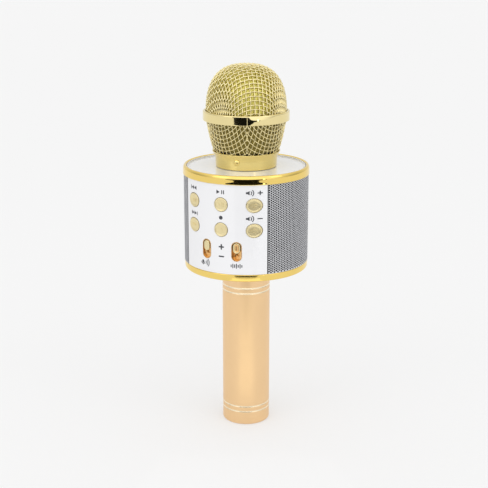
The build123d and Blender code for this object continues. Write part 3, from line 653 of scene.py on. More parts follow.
def build_grille(name, node, middle_deg):
    """A perforated steel sheet: staggered rows of round holes, cut through its thickness, whose hole walls
    and cut edges take a dark look that paints the shade inside the holes.
    """
    pitch_z, hole_r, rows = 1.453, 0.58, 41
    width = 2 * (math.pi / 2 - PANEL_HALF - SEAM) * SHELL_R
    columns = round(width / 1.258)
    pitch_u = width / columns
    first_z = (PANEL_LOW_Z + PANEL_TOP_Z) / 2 - rows * pitch_z / 2
    last_z = first_z + rows * pitch_z
    points, faces, known = [], [], {}

    def at(u, z):
        key = (round(u * 1000), round(z * 1000))
        if key not in known:
            known[key] = len(points)
            points.append((*polar(SHELL_R, math.radians(middle_deg) + u / SHELL_R), z))
        return known[key]

    for c in range(columns):
        left = -width / 2 + c * pitch_u
        mid, right = left + pitch_u / 2, left + pitch_u
        shift = 0.0 if c % 2 else pitch_z / 2
        count = rows if c % 2 else rows - 1
        for k in range(count):
            low = first_z + shift + k * pitch_z
            centre, high = low + pitch_z / 2, low + pitch_z
            rim = [(right, centre), (right, high), (mid, high), (left, high),
                   (left, centre), (left, low), (mid, low), (right, low)]
            outer = [at(*p) for p in rim]
            inner = [at(*p) for p in circle(hole_r, 8, mid, centre)]
            for i in range(8):
                m = (i + 1) % 8
                faces.append([outer[i], outer[m], inner[m], inner[i]])
        start, end = first_z + shift, first_z + shift + count * pitch_z
        foot = [(left, PANEL_LOW_Z), (right, PANEL_LOW_Z), (right, first_z),
                (right, start), (mid, start), (left, start), (left, first_z)]
        head = [(right, PANEL_TOP_Z), (left, PANEL_TOP_Z), (left, last_z),
                (left, end), (mid, end), (right, end), (right, last_z)]
        for border in (foot, head):
            faces.append(list(dict.fromkeys(at(*p) for p in border)))
    looks = ["grille_sheet", "grille_wall_shade"]
    made = piece(name, (points, faces), "body", [node], looks[0], looks, solid=False)
    sheet = made.modifiers.new("sheet", "SOLIDIFY")
    sheet.thickness = GRILLE_T * MM
    sheet.offset = -1.0
    # The hole walls and cut edges take the second, dark look: painted shade inside the holes.
    sheet.material_offset_rim = 1


# ---- controls ----


def relief(loop, side, base_r, top_r):
    """A raised mark with a slightly smaller top, closed underneath."""
    loops = [on_drum(side, loop, base_r), on_drum(side, loop, (base_r + top_r) / 2),
             on_drum(side, grown(loop, -0.06), top_r)]
    return lofted(loops, capped=True)


def bar(x0, z0, x1, z1, width):
    """A round-ended straight stroke."""
    start, end = Vector((x0, z0)), Vector((x1, z1))
    angle = math.atan2(end.y - start.y, end.x - start.x)
    out = []
    for centre, first in ((end, -math.pi / 2), (start, math.pi / 2)):
        for k in range(7):
            a, b = polar(width / 2, angle + first + math.pi * k / 6)
            out.append((centre.x + a, centre.y + b))
    return out


def bars(width, *ends):
    return [bar(*four, width) for four in ends]


def arc_strokes(cx, cz, radius, start_deg, end_deg, width, count=6):
    """An arc made of short round-ended strokes."""
    turns = [math.radians(start_deg + (end_deg - start_deg) * k / count) for k in range(count + 1)]
    ends = [(cx + a, cz + b) for a, b in (polar(radius, turn) for turn in turns)]
    return bars(width, *[first + last for first, last in zip(ends, ends[1:])])


def moved(loops, x, z):
    return [[(x + a, z + b) for a, b in loop] for loop in loops]


def build_button(name, node, side, x, z, marks):
    """A plated push button: dished face, raised rim, rounded edge, flange and stem."""
    profile = [
        (0.0, 0.20), (1.2, 0.205), (2.3, 0.22), (3.0, 0.25), (3.35, 0.31), (3.55, 0.42),
        (3.75, 0.49), (3.95, 0.49), (4.15, 0.42), (4.30, 0.27), (BUTTON_R, 0.02), (BUTTON_R, -2.1),
        (5.1, -2.2), (5.1, -3.0), (1.5, -3.0),
    ]
    count, reach, stem_r = 48, 24.9, 1.5
    loops = []
    for r, h in profile[1:]:
        ring = [(max(-reach, min(reach, px)), pz) for px, pz in circle(r, count, x, z)]
        loops.append(on_drum(side, ring, SHELL_R + h))
    stem_end = min(abs(span(node)[i].y) for i in (0, 1))
    loops.append(on_plane(side, circle(stem_r, count, x, z), stem_end))
    points, faces = lofted(loops)
    centre = len(points)
    points += on_drum(side, [(x, z)], SHELL_R + profile[0][1]) + on_plane(side, [(x, z)], stem_end)
    last = (len(loops) - 1) * count
    for k in range(count):
        m = (k + 1) % count
        faces.append([centre, m, k])
        faces.append([centre + 1, last + k, last + m])
    parts = [(points, faces)]
    parts += [relief(loop, side, SHELL_R + 0.05, SHELL_R + 0.40) for loop in moved(marks, x, z)]
    weighted(piece(name, merged(parts), node, [node], "plated_button"))


def build_buttons():
    play = [[(-1.9, -1.25), (-0.2, 0.0), (-1.9, 1.25)]]
    play += bars(0.5, (0.75, -1.2, 0.75, 1.2), (1.75, -1.2, 1.75, 1.2))
    arch = arc_strokes(0, -0.9, 1.9, 25, 155, 0.45)
    louder = arch + bars(0.45, (0, -1.6, 0, -0.2), (-0.7, -0.9, 0.7, -0.9))
    softer = arch + bars(0.45, (-0.8, -0.9, 0.8, -0.9))
    back = [[(0.1, 0.0), (1.7, -1.1), (1.7, 1.1)], [(-1.7, 0.0), (-0.1, -1.1), (-0.1, 1.1)]]
    ahead = [[(-x, z) for x, z in loop] for loop in back]
    power = bars(0.45, (0, -0.2, 0, 1.3)) + arc_strokes(0, -0.1, 1.5, -230, 50, 0.45, 10)
    top, low = BUTTON_Z
    left, middle, right = BUTTON_COLUMNS_X
    for node, side, x, z, marks in (
        ("previous_button", -1, left, top, back),
        ("play_button", -1, middle, top, play),
        ("volume_up_button", -1, right, top, louder),
        ("next_button", -1, left, low, ahead),
        ("record_button", -1, middle, low, [circle(1.15, 20)]),
        ("volume_down_button", -1, right, low, softer),
        ("mode_button", 1, 0.0, MODE_Z, power),
    ):
        build_button(f"{node}_cap", node, side, x, z, marks)


def build_tray(node, x):
    """A slider's gold tray: a rolled border on the drum, and a floor with a passage for the lever."""
    def slot(shrink):
        return stadium(SLOT[0] - shrink, SLOT[1] - shrink, x, SLIDER_Z)

    floor_y, under_y = 36.2, 35.2
    border = [(0.1, 39.0), (0.1, SHELL_R), (0.25, SHELL_R + 0.09), (0.45, SHELL_R + 0.12),
              (0.7, SHELL_R + 0.08), (0.9, SHELL_R - 0.1), (0.95, 38.5)]
    dish = [(1.0, 36.6), (1.3, 36.3), (1.9, floor_y)]
    passage = stadium(7.4, 2.6, x, SLIDER_Z)
    loops = [on_plane(-1, slot(0.1), under_y)]
    loops += [on_drum(-1, slot(shrink), radius) for shrink, radius in border]
    loops += [on_plane(-1, slot(shrink), y) for shrink, y in dish]
    loops += [on_plane(-1, passage, y) for y in (floor_y, under_y)]
    shape = lofted(loops, closed=True)
    weighted(piece(f"{node}_tray", shape, "body", [node], "plated_button", looks=["tray_gold"]))


def build_knob(node, x, top_steps, tinted_steps):
    """A slider's oval knob, with its lever and the tray-coloured shutter that rides behind it."""
    def oval(shrink):
        return stadium(KNOB[0] - shrink, KNOB[1] - shrink, x, KNOB_Z)

    top = SHELL_R + 0.2
    steps = [(0.0, -0.75), (0.12, -0.4), (0.45, -0.12)] + top_steps
    loops = [on_plane(-1, oval(0.3), 36.5), on_plane(-1, oval(0.0), 36.8)]
    loops += [on_drum(-1, oval(shrink), top + h) for shrink, h in steps]
    cap = lofted(loops, capped=True)
    lever = prism(-1, block(x, KNOB_Z, 0.8, 1.0), 26.5, 36.7)
    shutter = prism(-1, stadium(12.2, 3.6, x, KNOB_Z), 34.4, 34.8)
    shape = merged([cap, lever, shutter])
    cap_count = len(cap[1])
    underside = cap_count - 2
    tint_from = (len(loops) - 1 - tinted_steps) * len(loops[0]) if tinted_steps else cap_count
    tinted_face = [int(i >= tint_from and i != underside) for i in range(len(shape[1]))]
    weighted(piece(f"{node}_knob", shape, node, [node], "plated_button",
                   looks=["plated_button", "tray_gold"], look_of=tinted_face))


def build_sliders():
    """The two level sliders, whose knobs differ as domed and dished."""
    domed = [(0.9, -0.03), (1.6, 0.06), (2.4, 0.12), (3.2, 0.16), (4.0, 0.18), (4.4, 0.19)]
    dished = [(0.9, 0.0), (1.5, 0.0), (1.9, -0.16), (2.2, -0.5), (2.7, -0.78), (3.6, -0.92), (4.4, -0.95)]
    build_tray("mic_volume_bezel", SLIDERS_X[0])
    build_knob("mic_volume_slider", SLIDERS_X[0], domed, 0)
    build_tray("effect_bezel", SLIDERS_X[1])
    build_knob("effect_slider", SLIDERS_X[1], dished, 3)


def build_rear_controls():
    """The power switch nib with grip ridges, and the two round lights."""
    low, high = span("power_switch_slider")
    x, nib_top = (low.x + high.x) / 2, high.y
    steps = [(0.0, 37.2), (0.0, nib_top - 0.5), (0.12, nib_top - 0.22), (0.5, nib_top - 0.16)]
    loops = [on_plane(1, stadium(4.0 - cut, 2.9 - cut, x, SWITCH_Z, upright=False), y) for cut, y in steps]
    parts = [lofted(loops, capped=True)]
    for k in (-1, 0, 1):
        ridge = bar(x + k * 0.85, SWITCH_Z - 0.85, x + k * 0.85, SWITCH_Z + 0.85, 0.4)
        parts.append(prism(1, ridge, nib_top - 0.3, nib_top, grown(ridge, -0.08)))
    parts.append(prism(1, block(x, SWITCH_Z, 5.5, 2.7), 36.3, 37.3))
    parts.append(prism(1, block(x, SWITCH_Z, 0.8, 0.8), low.y, 36.4))
    switch = "power_switch_slider"
    piece("power_switch_nib", merged(parts), switch, [switch], "black_plastic")
    steps = ((0, span("status_lights")[0].y), (0, 40.0), (0.1, 40.25), (0.4, 40.42), (0.8, 40.48))
    parts = []
    for x in (-LIGHT_X, LIGHT_X):
        loops = [on_plane(1, circle(1.05 - cut, 24, x, LIGHT_Z), y) for cut, y in steps]
        parts.append(lofted(loops, capped=True))
    piece("status_light_pipes", merged(parts), "body", ["status_lights"], "light_pipe")


# ---- printed marks ----


def printed(name, side, loops):
    """Pictograms as a thin layer of ink on the drum."""
    parts = []
    for loop in loops:
        dense = []
        for i, (x, z) in enumerate(loop):
            xn, zn = loop[(i + 1) % len(loop)]
            cuts = max(1, round(math.hypot(xn - x, zn - z) / 0.6))
            dense += [(x + (xn - x) * k / cuts, z + (zn - z) * k / cuts) for k in range(cuts)]
        flat, triangles = filled(dense, [], 0.6, 0.15)
        size = len(dense)
        top = on_drum(side, flat, SHELL_R + 0.03)
        base = on_drum(side, flat, SHELL_R - 0.03)
        count = len(flat)
        faces = triangles + [[count + i for i in reversed(face)] for face in triangles]
        faces += [[k, (k + 1) % size, count + (k + 1) % size, count + k] for k in range(size)]
        parts.append((top + base, faces))
    piece(name, merged(parts), "body", looks=["print"])


def build_prints():
    """Generic pictograms for each control, front and rear."""
    skip_back = bars(0.55, (-2.7, -1.0, -2.7, 1.0))
    skip_back += [[(-2.2, 0), (-0.1, -1.3), (-0.1, 1.3)], [(0.1, 0), (2.2, -1.3), (2.2, 1.3)]]
    skip_ahead = [[(-x, z) for x, z in reversed(loop)] for loop in skip_back]
    play_pause = [[(-2.9, -1.3), (-0.6, 0), (-2.9, 1.3)]]
    play_pause += bars(0.62, (0.7, -1.0, 0.7, 1.0), (1.9, -1.0, 1.9, 1.0))
    speaker = [[(-4.5, -0.6), (-3.6, -0.6), (-2.4, -1.35), (-2.4, 1.35), (-3.6, 0.6), (-4.5, 0.6)]]
    speaker += arc_strokes(-2.6, 0, 1.35, -45, 45, 0.5, 4) + arc_strokes(-2.6, 0, 2.45, -45, 45, 0.5, 6)
    minus = bars(0.65, (2.1, 0, 4.3, 0))
    plus = minus + bars(0.65, (3.2, -1.1, 3.2, 1.1))
    voice = [stadium(2.2, 1.5, -3.0, 0.4)] + arc_strokes(-3.0, 0.1, 1.3, 180, 360, 0.45, 6)
    voice += bars(0.5, (-3.0, -1.2, -3.0, -1.5))
    for radius, count in ((1.2, 4), (2.3, 5), (3.4, 6)):
        voice += arc_strokes(-1.6, 0.1, radius, -42, 42, 0.5, count)
    heights = (0.6, 1.2, 0.85, 1.35, 0.65, 1.15, 0.55)
    wave = [bar(-3.3 + 1.1 * k, -h, -3.3 + 1.1 * k, h, 0.6) for k, h in enumerate(heights)]
    sign_x, more_z, less_z, arm = 0.7, 131.0, 124.8, 1.4
    sign = bars(
        0.9,
        (sign_x - arm, more_z, sign_x + arm, more_z),
        (sign_x, more_z - arm, sign_x, more_z + arm),
        (sign_x - arm, less_z, sign_x + arm, less_z),
    )
    high, low = BUTTON_Z[0] + 8.0, BUTTON_Z[1] + 7.7
    left, middle, right = BUTTON_COLUMNS_X
    front = moved(skip_back, left, high) + moved(play_pause, middle, high)
    front += moved(speaker + plus, right, high) + moved(skip_ahead, left, low)
    front += moved([circle(1.25, 24)], middle, low) + moved(speaker + minus, right, low)
    front += moved(voice, SLIDERS_X[0], 119.2) + moved(wave, SLIDERS_X[1], 119.2) + sign
    printed("front_pictograms", -1, front)
    power = bars(0.36, (0, 0.2, 0, 1.3)) + arc_strokes(0, 0, 1.05, -235, 55, 0.36, 10)
    bolt = [[(-0.2, 1.3), (-1.0, -0.2), (-0.1, -0.1), (-0.4, -1.3), (0.9, 0.35), (0.1, 0.25), (0.6, 1.3)]]
    phones = arc_strokes(0, -0.2, 1.15, 0, 180, 0.34, 8)
    phones += bars(0.62, (-1.15, -0.9, -1.15, -0.2), (1.15, -0.9, 1.15, -0.2))
    card = bars(0.3, (-0.9, -1.1, 0.9, -1.1), (-0.9, -1.1, -0.9, 1.1), (-0.9, 1.1, 0.3, 1.1),
                (0.3, 1.1, 0.9, 0.5), (0.9, 0.5, 0.9, -1.1))
    rear = moved(power, -7.4, SWITCH_Z) + moved(bolt, 0, SOCKET_Z - 5.2)
    rear += moved(phones, JACK_X, SOCKET_Z - 5.6) + moved(card, CARD_X, SOCKET_Z - 4.6)
    printed("rear_pictograms", 1, rear)


# ---- head ----


def dome_profile(inset):
    """(radius, height) points from the apex down to the dome's base."""
    out = []
    for k in range(401):
        angle = math.pi / 2 * (1 - k / 400)
        r = (DOME_R - inset) * math.cos(angle) ** (2 / DOME_POWER) if k else 0.0
        z = DOME_BASE_Z + (DOME_H - inset) * math.sin(angle) ** (2 / DOME_POWER) if k < 400 else DOME_BASE_Z
        out.append((r, z))
    return out


def cup_profile(inset):
    """(radius, height) points up the cup's slightly bulging wall, run on past both its ends."""
    radii, heights = zip(*CUP_POINTS)
    bulge = np.polyfit(heights, radii, 2)
    reach = heights[2] - heights[0]
    levels = [heights[0] + reach * k / 240 for k in range(-20, 261)]
    return [(np.polyval(bulge, z) - inset, z) for z in levels]


class Turned:
    """A surface turned about Z, walked by distance along its outline and angle round the axis."""

    def __init__(self, outline):
        self.line = np.array(outline)
        steps = np.hypot(*np.diff(self.line, axis=0).T)
        self.length = np.concatenate([[0.0], np.cumsum(steps)])

    def at(self, s, angle):
        s = min(max(s, 0.0), self.length[-1])
        r, z = (np.interp(s, self.length, self.line[:, i]) for i in (0, 1))
        return np.array([*polar(r, angle), z])

    def nearest(self, point):
        """The index of the closest point of the outline, and the distance from the axis."""
        r = math.hypot(point[0], point[1])
        return int(np.argmin((self.line[:, 0] - r) ** 2 + (self.line[:, 1] - point[2]) ** 2)), r

    def near(self, point):
        return self.length[self.nearest(point)[0]], math.atan2(point[1], point[0])

    def normal(self, point):
        k, r = self.nearest(point)
        a, b = self.line[max(k - 2, 0)], self.line[min(k + 2, len(self.line) - 1)]
        outward, upward = (b - a) / np.hypot(*(b - a))
        if r < 1e-6:
            return np.array([0.0, 0.0, math.copysign(1.0, outward)])
        return np.array([-upward * point[0] / r, -upward * point[1] / r, outward])


def quarter_net(surface, pitch, count):
    """Knots of a cloth of fixed thread spacing, draped from the axis outwards over one quarter."""
    ds, da = 1e-3, 1e-4

    def miss(s, angle, a, b):
        x = surface.at(s, angle)
        return np.array([np.linalg.norm(x - a) - pitch, np.linalg.norm(x - b) - pitch])

    def knot_beside(a, b, c):
        """The next knot, one pitch from a and b and across from c, or None where the cloth ends."""
        s, angle = surface.near(a + b - c)
        for _ in range(30):
            here = miss(s, angle, a, b)
            if np.abs(here).max() < 1e-5:
                return surface.at(s, angle) if s < surface.length[-1] - 1e-3 else None
            slope = np.column_stack([(miss(s + ds, angle, a, b) - here) / ds,
                                     (miss(s, angle + da, a, b) - here) / da])
            if abs(np.linalg.det(slope)) < 1e-9:
                return None
            step = np.linalg.solve(slope, -here)
            s += max(-1.0, min(1.0, step[0]))
            angle += max(-0.2, min(0.2, step[1]))
        return None

    knots = {}
    for k in range(count + 1):
        knots[k, 0] = surface.at(k * pitch, 0.0)
        knots[0, k] = surface.at(k * pitch, math.pi / 2)
    for i in range(1, count + 1):
        for j in range(1, count + 1):
            if (i - 1, j) in knots and (i, j - 1) in knots:
                knot = knot_beside(knots[i - 1, j], knots[i, j - 1], knots[i - 1, j - 1])
                if knot is not None:
                    knots[i, j] = knot
    return knots


def full_net(surface, pitch, count, turn_deg):
    """The quarter mirrored to all four, then turned about the axis."""
    c, s = polar(1.0, math.radians(turn_deg))
    out = {}
    for (i, j), (x, y, z) in quarter_net(surface, pitch, count).items():
        for si in (-1, 1):
            for sj in (-1, 1):
                px, py = si * x, sj * y
                out[si * i, sj * j] = np.array([px * c - py * s, px * s + py * c, z])
    return out


def quadrant_net(surface, middle):
    """Knots over one quadrant of the cup, whose rows rise and fan out towards its two seams."""
    column, row = 3.15, 2.65
    lean, fan, arch, span_x = 0.011, 0.45, 0.0175, 18.0
    out = {}
    for i in range(-12, 13):
        for j in range(-4, 13):
            x = column * i
            for _ in range(12):
                y = row * j * (1 + fan * (x / span_x) ** 2) + arch * x * x
                x = column * i / (1 + lean * max(-6.0, min(y, 30.0)))
            if -1.5 <= y <= surface.length[-1]:
                r = np.interp(max(y, 0.0), surface.length, surface.line[:, 0])
                out[i, j] = surface.at(y, middle + x / r)
    return out


def tube(line, radius, sides, normals):
    """A round wire along a line of points, its ends closed."""
    rings = []
    for k, here in enumerate(line):
        ahead = line[min(k + 1, len(line) - 1)] - line[max(k - 1, 0)]
        ahead = ahead / np.linalg.norm(ahead)
        side = np.cross(ahead, normals[k])
        side /= np.linalg.norm(side)
        up = np.cross(side, ahead)
        turns = (polar(radius, 2 * math.pi * m / sides) for m in range(sides))
        rings.append([tuple(here + a * side + b * up) for a, b in turns])
    return lofted(rings, capped=True)


def smooth_line(knots, cuts):
    """Points along a curve through all the knots."""
    out = []
    last = len(knots) - 1
    for i in range(last):
        p0, p1 = knots[max(i - 1, 0)], knots[i]
        p2, p3 = knots[i + 1], knots[min(i + 2, last)]
        for k in range(cuts):
            t = k / cuts
            out.append(0.5 * (2 * p1 + (p2 - p0) * t + (2 * p0 - 5 * p1 + 4 * p2 - p3) * t * t
                              + (3 * p1 - p0 - 3 * p2 + p3) * t ** 3))
    return out + [knots[last]]


def woven(surface, net, wire_r, crimp, kept, cuts=4, sides=6):
    """Every wire of a plain weave over a net, where a test on its points keeps it."""
    parts = []
    limit = max(max(abs(i), abs(j)) for i, j in net)
    ways = range(-limit, limit + 1)
    for family, fixed in [(family, fixed) for family in (0, 1) for fixed in ways]:
        run, up = [], []
        for moving in [*ways, limit + 1]:
            knot = net.get((fixed, moving) if family else (moving, fixed))
            if knot is not None:
                normal = surface.normal(knot)
                run.append(knot + normal * (crimp * (-1) ** (moving + fixed + family)))
                up.append(normal)
                continue
            if len(run) > 1:
                line, normals = smooth_line(run, cuts), smooth_line(up, cuts)
                for keep, group in groupby(range(len(line)), lambda k: bool(kept(line[k]))):
                    part = list(group)
                    if keep and len(part) > 1:
                        parts.append(tube([line[k] for k in part], wire_r, sides, [normals[k] for k in part]))
            run, up = [], []
    return merged(parts)


def build_dome():
    """The woven dome, draped as one cloth, and the fine gauze behind it."""
    wire_r, crimp, pitch, count, turn_deg = 0.36, 0.32, 2.7, 23, -54.0
    foot_z = BAND_LOW_Z + 3.2
    surface = Turned(dome_profile(2 * wire_r))
    net = full_net(surface, pitch, count, turn_deg)
    weave = woven(surface, net, wire_r, crimp, lambda p: p[2] >= foot_z)
    piece("dome_weave", weave, "head", ["dome_mesh"], "gold_mesh", sharp_deg=80)
    inset, gauze_t = 1.5, 0.2
    outline = dome_profile(inset)[::8] + dome_profile(inset + gauze_t)[::8][::-1]
    piece("dome_gauze_shell", lathe_mesh(outline, 128), "head", ["dome_gauze"], "gold_gauze", sharp_deg=80)


def build_cup():
    """The woven cup: four quadrants of cloth that meet at upright seams."""
    wire_r, crimp, seam_lap = 0.30, 0.18, 0.9
    foot_z, top_z = CUP_POINTS[0][1] + 0.1, BAND_LOW_Z + 1.5
    surface = Turned(cup_profile(2 * wire_r))
    parts = []
    for quarter in range(4):
        middle = SEAM_AZIMUTH + math.pi / 4 + quarter * math.pi / 2

        def kept(p):
            off = (math.atan2(p[1], p[0]) - middle + math.pi) % (2 * math.pi) - math.pi
            reach = math.pi / 4 + seam_lap / math.hypot(p[0], p[1])
            return foot_z <= p[2] <= top_z and abs(off) <= reach

        parts.append(woven(surface, quadrant_net(surface, middle), wire_r, crimp, kept, 8))
    piece("cup_weave", merged(parts), "head", ["cup_mesh"], "gold_mesh", sharp_deg=80)


def build_band():
    """The clamping band: flat outside, crowned beside the fine seam where its ends meet."""
    gap = 0.10 / BAND_R
    low_round, top_round, wall, count = 0.35, 0.7, 14, 520
    crown_depth, crown_reach, crown_power = 0.42, 7.0, 1.6
    edge_depth, edge_reach = 0.12, 0.35
    z0, z1 = BAND_LOW_Z + low_round, BAND_TOP_Z - top_round
    middle = (z0 + z1) / 2
    loops = []
    for k in range(count + 1):
        share = k / count
        share -= 0.97 * math.sin(2 * math.pi * share) / (2 * math.pi)
        turn = gap / 2 + (2 * math.pi - gap) * share
        arc = turn * BAND_R
        far = arc / crown_reach
        crown = crown_depth * (far * math.exp(1 - far)) ** crown_power
        edge = edge_depth * max(0.0, 1 - min(arc, 2 * math.pi * BAND_R - arc) / edge_reach) ** 2
        out_r = BAND_R - edge - crown
        profile = [(BAND_BORE_R, BAND_LOW_Z)]
        profile += [(out_r - low_round * (1 - math.sin(a)), z0 - low_round * math.cos(a))
                    for a in quarter_turn(5)]
        for i in range(1, wall):
            z = z0 + (z1 - z0) * i / wall
            profile.append((BAND_R - edge - crown * ((z - middle) / (z1 - middle)) ** 2, z))
        profile += [(out_r - top_round * (1 - math.cos(a)), z1 + top_round * math.sin(a))
                    for a in quarter_turn(6)]
        profile.append((BAND_BORE_R, BAND_TOP_Z))
        loops.append([(*polar(r, SEAM_AZIMUTH + turn), z) for r, z in profile])
    weighted(piece("head_band_strip", lofted(loops, capped=True), "head", ["head_band"], "plated_metal"))


def build_collar():
    """The spun collar, flaring to take the foot of the cup, and its domed stud."""
    rise = COLLAR_TOP_Z - COLLAR_WAIST_Z
    lean = (COLLAR_WAIST_R - COLLAR_BASE_R) / (COLLAR_WAIST_Z - COLLAR_BASE_Z)
    bow, flare_power, lip = COLLAR_TOP_R - COLLAR_WAIST_R - lean * rise, 1.8, 0.3
    seat_r, seat_z = CUP_POINTS[0][0] + 0.05, CUP_POINTS[0][1] - 0.05
    outline = [(COLLAR_BORE_R, COLLAR_BASE_Z), (COLLAR_BASE_R - 0.25, COLLAR_BASE_Z),
               (COLLAR_BASE_R - 0.07, COLLAR_BASE_Z + 0.07), (COLLAR_BASE_R, COLLAR_BASE_Z + 0.25)]
    for k in range(17):
        up = (rise - lip) * k / 16
        outline.append((COLLAR_WAIST_R + lean * up + bow * (up / rise) ** flare_power, COLLAR_WAIST_Z + up))
    top = outline[-1][0]
    outline += [(top - lip * (1 - math.cos(a)), COLLAR_TOP_Z - lip * (1 - math.sin(a)))
                for a in quarter_turn(6)[1:]]
    outline += [(seat_r + 0.32, COLLAR_TOP_Z), (seat_r, seat_z), (COLLAR_BORE_R, seat_z - 0.5)]
    lathe("head_collar_spun", outline, "head", ["head_collar"], "plated_metal", 192, looks=["plated_collar"])
    seat = COLLAR_BASE_R + (STUD_Z - COLLAR_BASE_Z) * lean
    stud = [(0.0, -1.2), (1.2, -1.2), (1.2, -0.2), (1.55, -0.05), (1.95, 0.02), (2.0, 0.15), (1.95, 0.45),
            (1.7, 0.8), (1.25, 1.08), (0.65, 1.25), (0.0, 1.3)]
    points, faces = lathe_mesh([(r, seat + h) for r, h in stud], 48)
    turn = Matrix.Rotation(math.radians(STUD_DEG - 90), 3, "Z") @ Matrix.Rotation(math.pi / 2, 3, "Y")
    points = [tuple(turn @ Vector(p) + Vector((0, 0, STUD_Z))) for p in points]
    piece("collar_stud_dome", (points, faces), "head", ["collar_stud"], "plated_metal",
          looks=["plated_collar"])


def build_neck_thread():
    """The ridge of the thread that the head climbs, standing on the neck."""
    pitch, low, turns, sides = 1.5, 176.6, 4.4, 48
    count = int(turns * sides)
    root, ridge, run_out = NECK_R - 0.1, 0.32, 12
    loops = []
    for k in range(count + 1):
        z = low + pitch * k / sides
        crest = root + ridge * min(1.0, k / run_out, (count - k) / run_out)
        section = [(root, z - 0.42), (crest, z - 0.12), (crest, z + 0.12), (root, z + 0.42)]
        loops.append([(*polar(r, 2 * math.pi * k / sides), h) for r, h in section])
    piece("neck_thread", lofted(loops, capped=True), "body", [], SLOT_OF["neck_spigot"])


def build_foam():
    """The foam liner: a cone under a dome, with a lightly pitted skin."""
    inset, thickness, pit_depth, pit_scale = 2.0, 3.0, 0.10, 1.9
    base_z = span("foam_windscreen")[0].z
    foot_r = np.interp(base_z, *zip(*[(z, r) for r, z in cup_profile(1.7)]))

    def side(depth):
        line = dome_profile(inset + depth)[::10]
        (r, z), foot = line[-1], foot_r - depth
        return line + [(r + (foot - r) * k / 20, z + (base_z - z) * k / 20) for k in range(1, 21)]

    points, faces = lathe_mesh(side(0.0) + side(thickness)[::-1], 144)
    pitted = []
    for x, y, z in points:
        dip = pit_depth * (noise.noise(Vector((x, y, z)) * pit_scale) - 1)
        r = math.hypot(x, y) or 1.0
        pitted.append((x + x / r * dip, y + y / r * dip, z + (dip if z > DOME_BASE_Z + 20 else 0.0)))
    made = piece("foam_liner", (pitted, faces), "windscreen", ["foam_windscreen"], "foam", sharp_deg=80)


# ---- studio ----

VIEW_AZIMUTH = math.radians(23.6)
VIEW_DISTANCE = 0.700
VIEW_HEIGHT = 0.31915
VIEW_PITCH = 0.274
VIEW_YAW = 0.00205
FLOOR_WHITE = 0.50
FLOOR_GLOW = 0.39
BACKDROP = 0.905
SIDE_POWER = 6.0
SIDE_DIM = 0.36
TO_VIEWER = Vector((math.sin(VIEW_AZIMUTH), -math.cos(VIEW_AZIMUTH), 0.0))
TO_RIGHT = Vector((math.cos(VIEW_AZIMUTH), math.sin(VIEW_AZIMUTH), 0.0))


def build_camera():
    data = bpy.data.cameras.new("camera")
    data.lens = 81.35
    data.sensor_width = 36.0
    data.clip_start = 0.01
    data.clip_end = 100.0
    camera = placed("camera", data)
    x, y = math.sin(VIEW_AZIMUTH), -math.cos(VIEW_AZIMUTH)
    camera.location = (VIEW_DISTANCE * x, VIEW_DISTANCE * y, VIEW_HEIGHT)
    camera.rotation_euler = (math.pi / 2 - VIEW_PITCH, 0.0, VIEW_AZIMUTH + VIEW_YAW)
    bpy.context.scene.camera = camera


def sheet_of(name, corners, colour, glow=0.0):
    """A flat stage surface, which may give some light of its own."""
    mesh = bpy.data.meshes.new(name)
    mesh.from_pydata(corners, [], [list(range(len(corners)))])
    look = Look(name, Base_Color=colour, Roughness=0.9, Specular_IOR_Level=0.2,
                Emission_Color=(1.0, 1.0, 1.0, 1.0), Emission_Strength=glow)
    mesh.materials.append(look.material)
    made = placed(name, mesh)
    return made


def build_stage():
    """The floor, and the cards that the gold parts mirror."""
    floor = [(x, y, 0) for x, y in block(0, 0, 30.0, 30.0)]
    sheet_of("floor", floor, (FLOOR_WHITE, FLOOR_WHITE, FLOOR_WHITE, 1.0), FLOOR_GLOW)

    def card(name, corners, tone, glow=0.0):
        """A panel that only the object's gloss can see, from (metres away, degrees to the side, height)."""
        points = [TO_VIEWER * d + TO_RIGHT * (d * math.tan(math.radians(a))) + Vector((0, 0, z))
                  for d, a, z in corners]
        made = sheet_of(name, [tuple(p) for p in points], (tone, tone, tone * 0.9, 1.0), glow)
        for ray in ("camera", "diffuse", "shadow", "transmission"):
            setattr(made, f"visible_{ray}", False)

    def both_sides(half):
        return half + [(d, -a, z) for d, a, z in reversed(half)]

    outline = [(20, 0.0), (22, 0.054), (31, 0.085), (34, 0.112), (36, 0.125), (36, 0.20)]
    card("dark_card", both_sides([(0.62, a, z) for a, z in outline]), 0.004)
    for name, near, near_deg, far, far_deg, tone, glow in (
        ("foot_card", 0.46, 20, 0.62, 20, 0.004, 0.0),
        ("floor_card", 0.34, 19, 0.40, 17, 0.30, 0.0),
        ("near_card", 0.06, 40, 0.30, 24, 0.5, 0.70),
    ):
        card(name, both_sides([(near, near_deg, 0.001), (far, far_deg, 0.001)]), tone, glow)
    streak = [(28.5, 0.125), (32.5, 0.125), (32.5, 0.3), (28.5, 0.3)]
    card("streak_card", [(0.50, a, z) for a, z in streak], 0.5, 1.9)


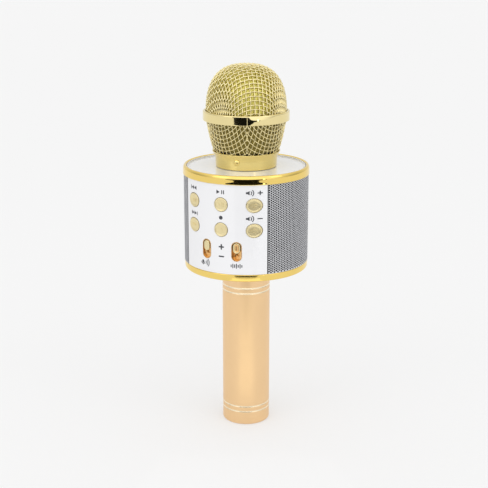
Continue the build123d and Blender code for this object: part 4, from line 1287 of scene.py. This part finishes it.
def build_world():
    """A white tent: brightest overhead and on the camera's side, and plain pale behind the object."""
    world = bpy.data.worlds.new("tent")
    bpy.context.scene.world = world
    world.use_nodes = True
    world.node_tree.nodes.clear()

    def node(kind, inputs=None, **settings):
        return add_node(world.node_tree, kind, inputs, **settings)

    def value(operation, *inputs):
        return node("ShaderNodeMath", dict(enumerate(inputs)), operation=operation).outputs[0]

    place = node("ShaderNodeTexCoord").outputs["Generated"]

    def along(direction):
        """How far each way of looking goes along a direction."""
        inputs = {0: place, 1: direction}
        return node("ShaderNodeVectorMath", inputs, operation="DOT_PRODUCT").outputs["Value"]

    facing = value("MAXIMUM", along(TO_VIEWER + Vector((0, 0, 0.75))), -0.05)
    front = value("MULTIPLY_ADD", facing, 0.36, 0.86)
    dim = value("POWER", value("ABSOLUTE", along(TO_RIGHT)), SIDE_POWER)
    shaded = value("SUBTRACT", front, value("MULTIPLY", dim, SIDE_DIM))
    tent = node("ShaderNodeBackground", {"Strength": shaded, "Color": (1.0, 1.0, 1.0, 1.0)})
    seen = node("ShaderNodeBackground", {"Color": (BACKDROP, BACKDROP, BACKDROP, 1.0)})
    by_camera = node("ShaderNodeLightPath").outputs["Is Camera Ray"]
    mix = node("ShaderNodeMixShader", {"Fac": by_camera, 1: tent.outputs[0], 2: seen.outputs[0]})
    node("ShaderNodeOutputWorld", {"Surface": mix.outputs[0]})


def build_lights():
    """Two large, faint soft boxes beside the camera, for long highlights."""
    for name, turn_deg, power, size in (("key", -50, 0.5, 0.5), ("fill", 58, 0.35, 0.4)):
        data = bpy.data.lights.new(name, "AREA")
        data.energy = power
        data.shape = "RECTANGLE"
        data.size = size
        data.size_y = size * 1.3
        light = placed(name, data)
        angle = VIEW_AZIMUTH + math.radians(turn_deg)
        light.location = (0.9 * math.sin(angle), -0.9 * math.cos(angle), 0.75)
        aim = Vector((0, 0, 0.15)) - light.location
        light.rotation_euler = aim.to_track_quat("-Z", "Y").to_euler()


# ---- build ----

dress_frame()
build_handle()
build_rims()
build_top_cover()
front_holes = [circle(BUTTON_R + BUTTON_GAP, 48, x, z) for x in BUTTON_COLUMNS_X for z in BUTTON_Z]
front_holes += [stadium(*SLOT, x, SLIDER_Z) for x in SLIDERS_X]
build_panel("front_panel_gloss", -1, "front_panel", front_holes)
rear_holes = [circle(BUTTON_R + BUTTON_GAP, 48, 0.0, MODE_Z)]
rear_holes += [stadium(*SWITCH_SLOT, 0.0, SWITCH_Z, upright=False)]
rear_holes += [circle(1.1, 24, sign * LIGHT_X, LIGHT_Z) for sign in (-1, 1)]
rear_holes += [stadium(8.8, 3.9, 0.0, SOCKET_Z, upright=False), circle(3.1, 32, JACK_X, SOCKET_Z)]
rear_holes += [stadium(12.8, 2.4, CARD_X, SOCKET_Z, upright=False)]
build_panel("rear_panel_gloss", 1, "rear_panel", rear_holes)
build_grille("right_grille_perforated", "right_grille", 0.0)
build_grille("left_grille_perforated", "left_grille", 180.0)
build_buttons()
build_sliders()
build_rear_controls()
build_prints()
build_dome()
build_cup()
build_band()
build_collar()
build_neck_thread()
build_foam()

build_camera()
build_stage()
build_world()
build_lights()
bpy.context.scene.view_settings.view_transform = "Standard"
bpy.context.scene.view_settings.look = "None"
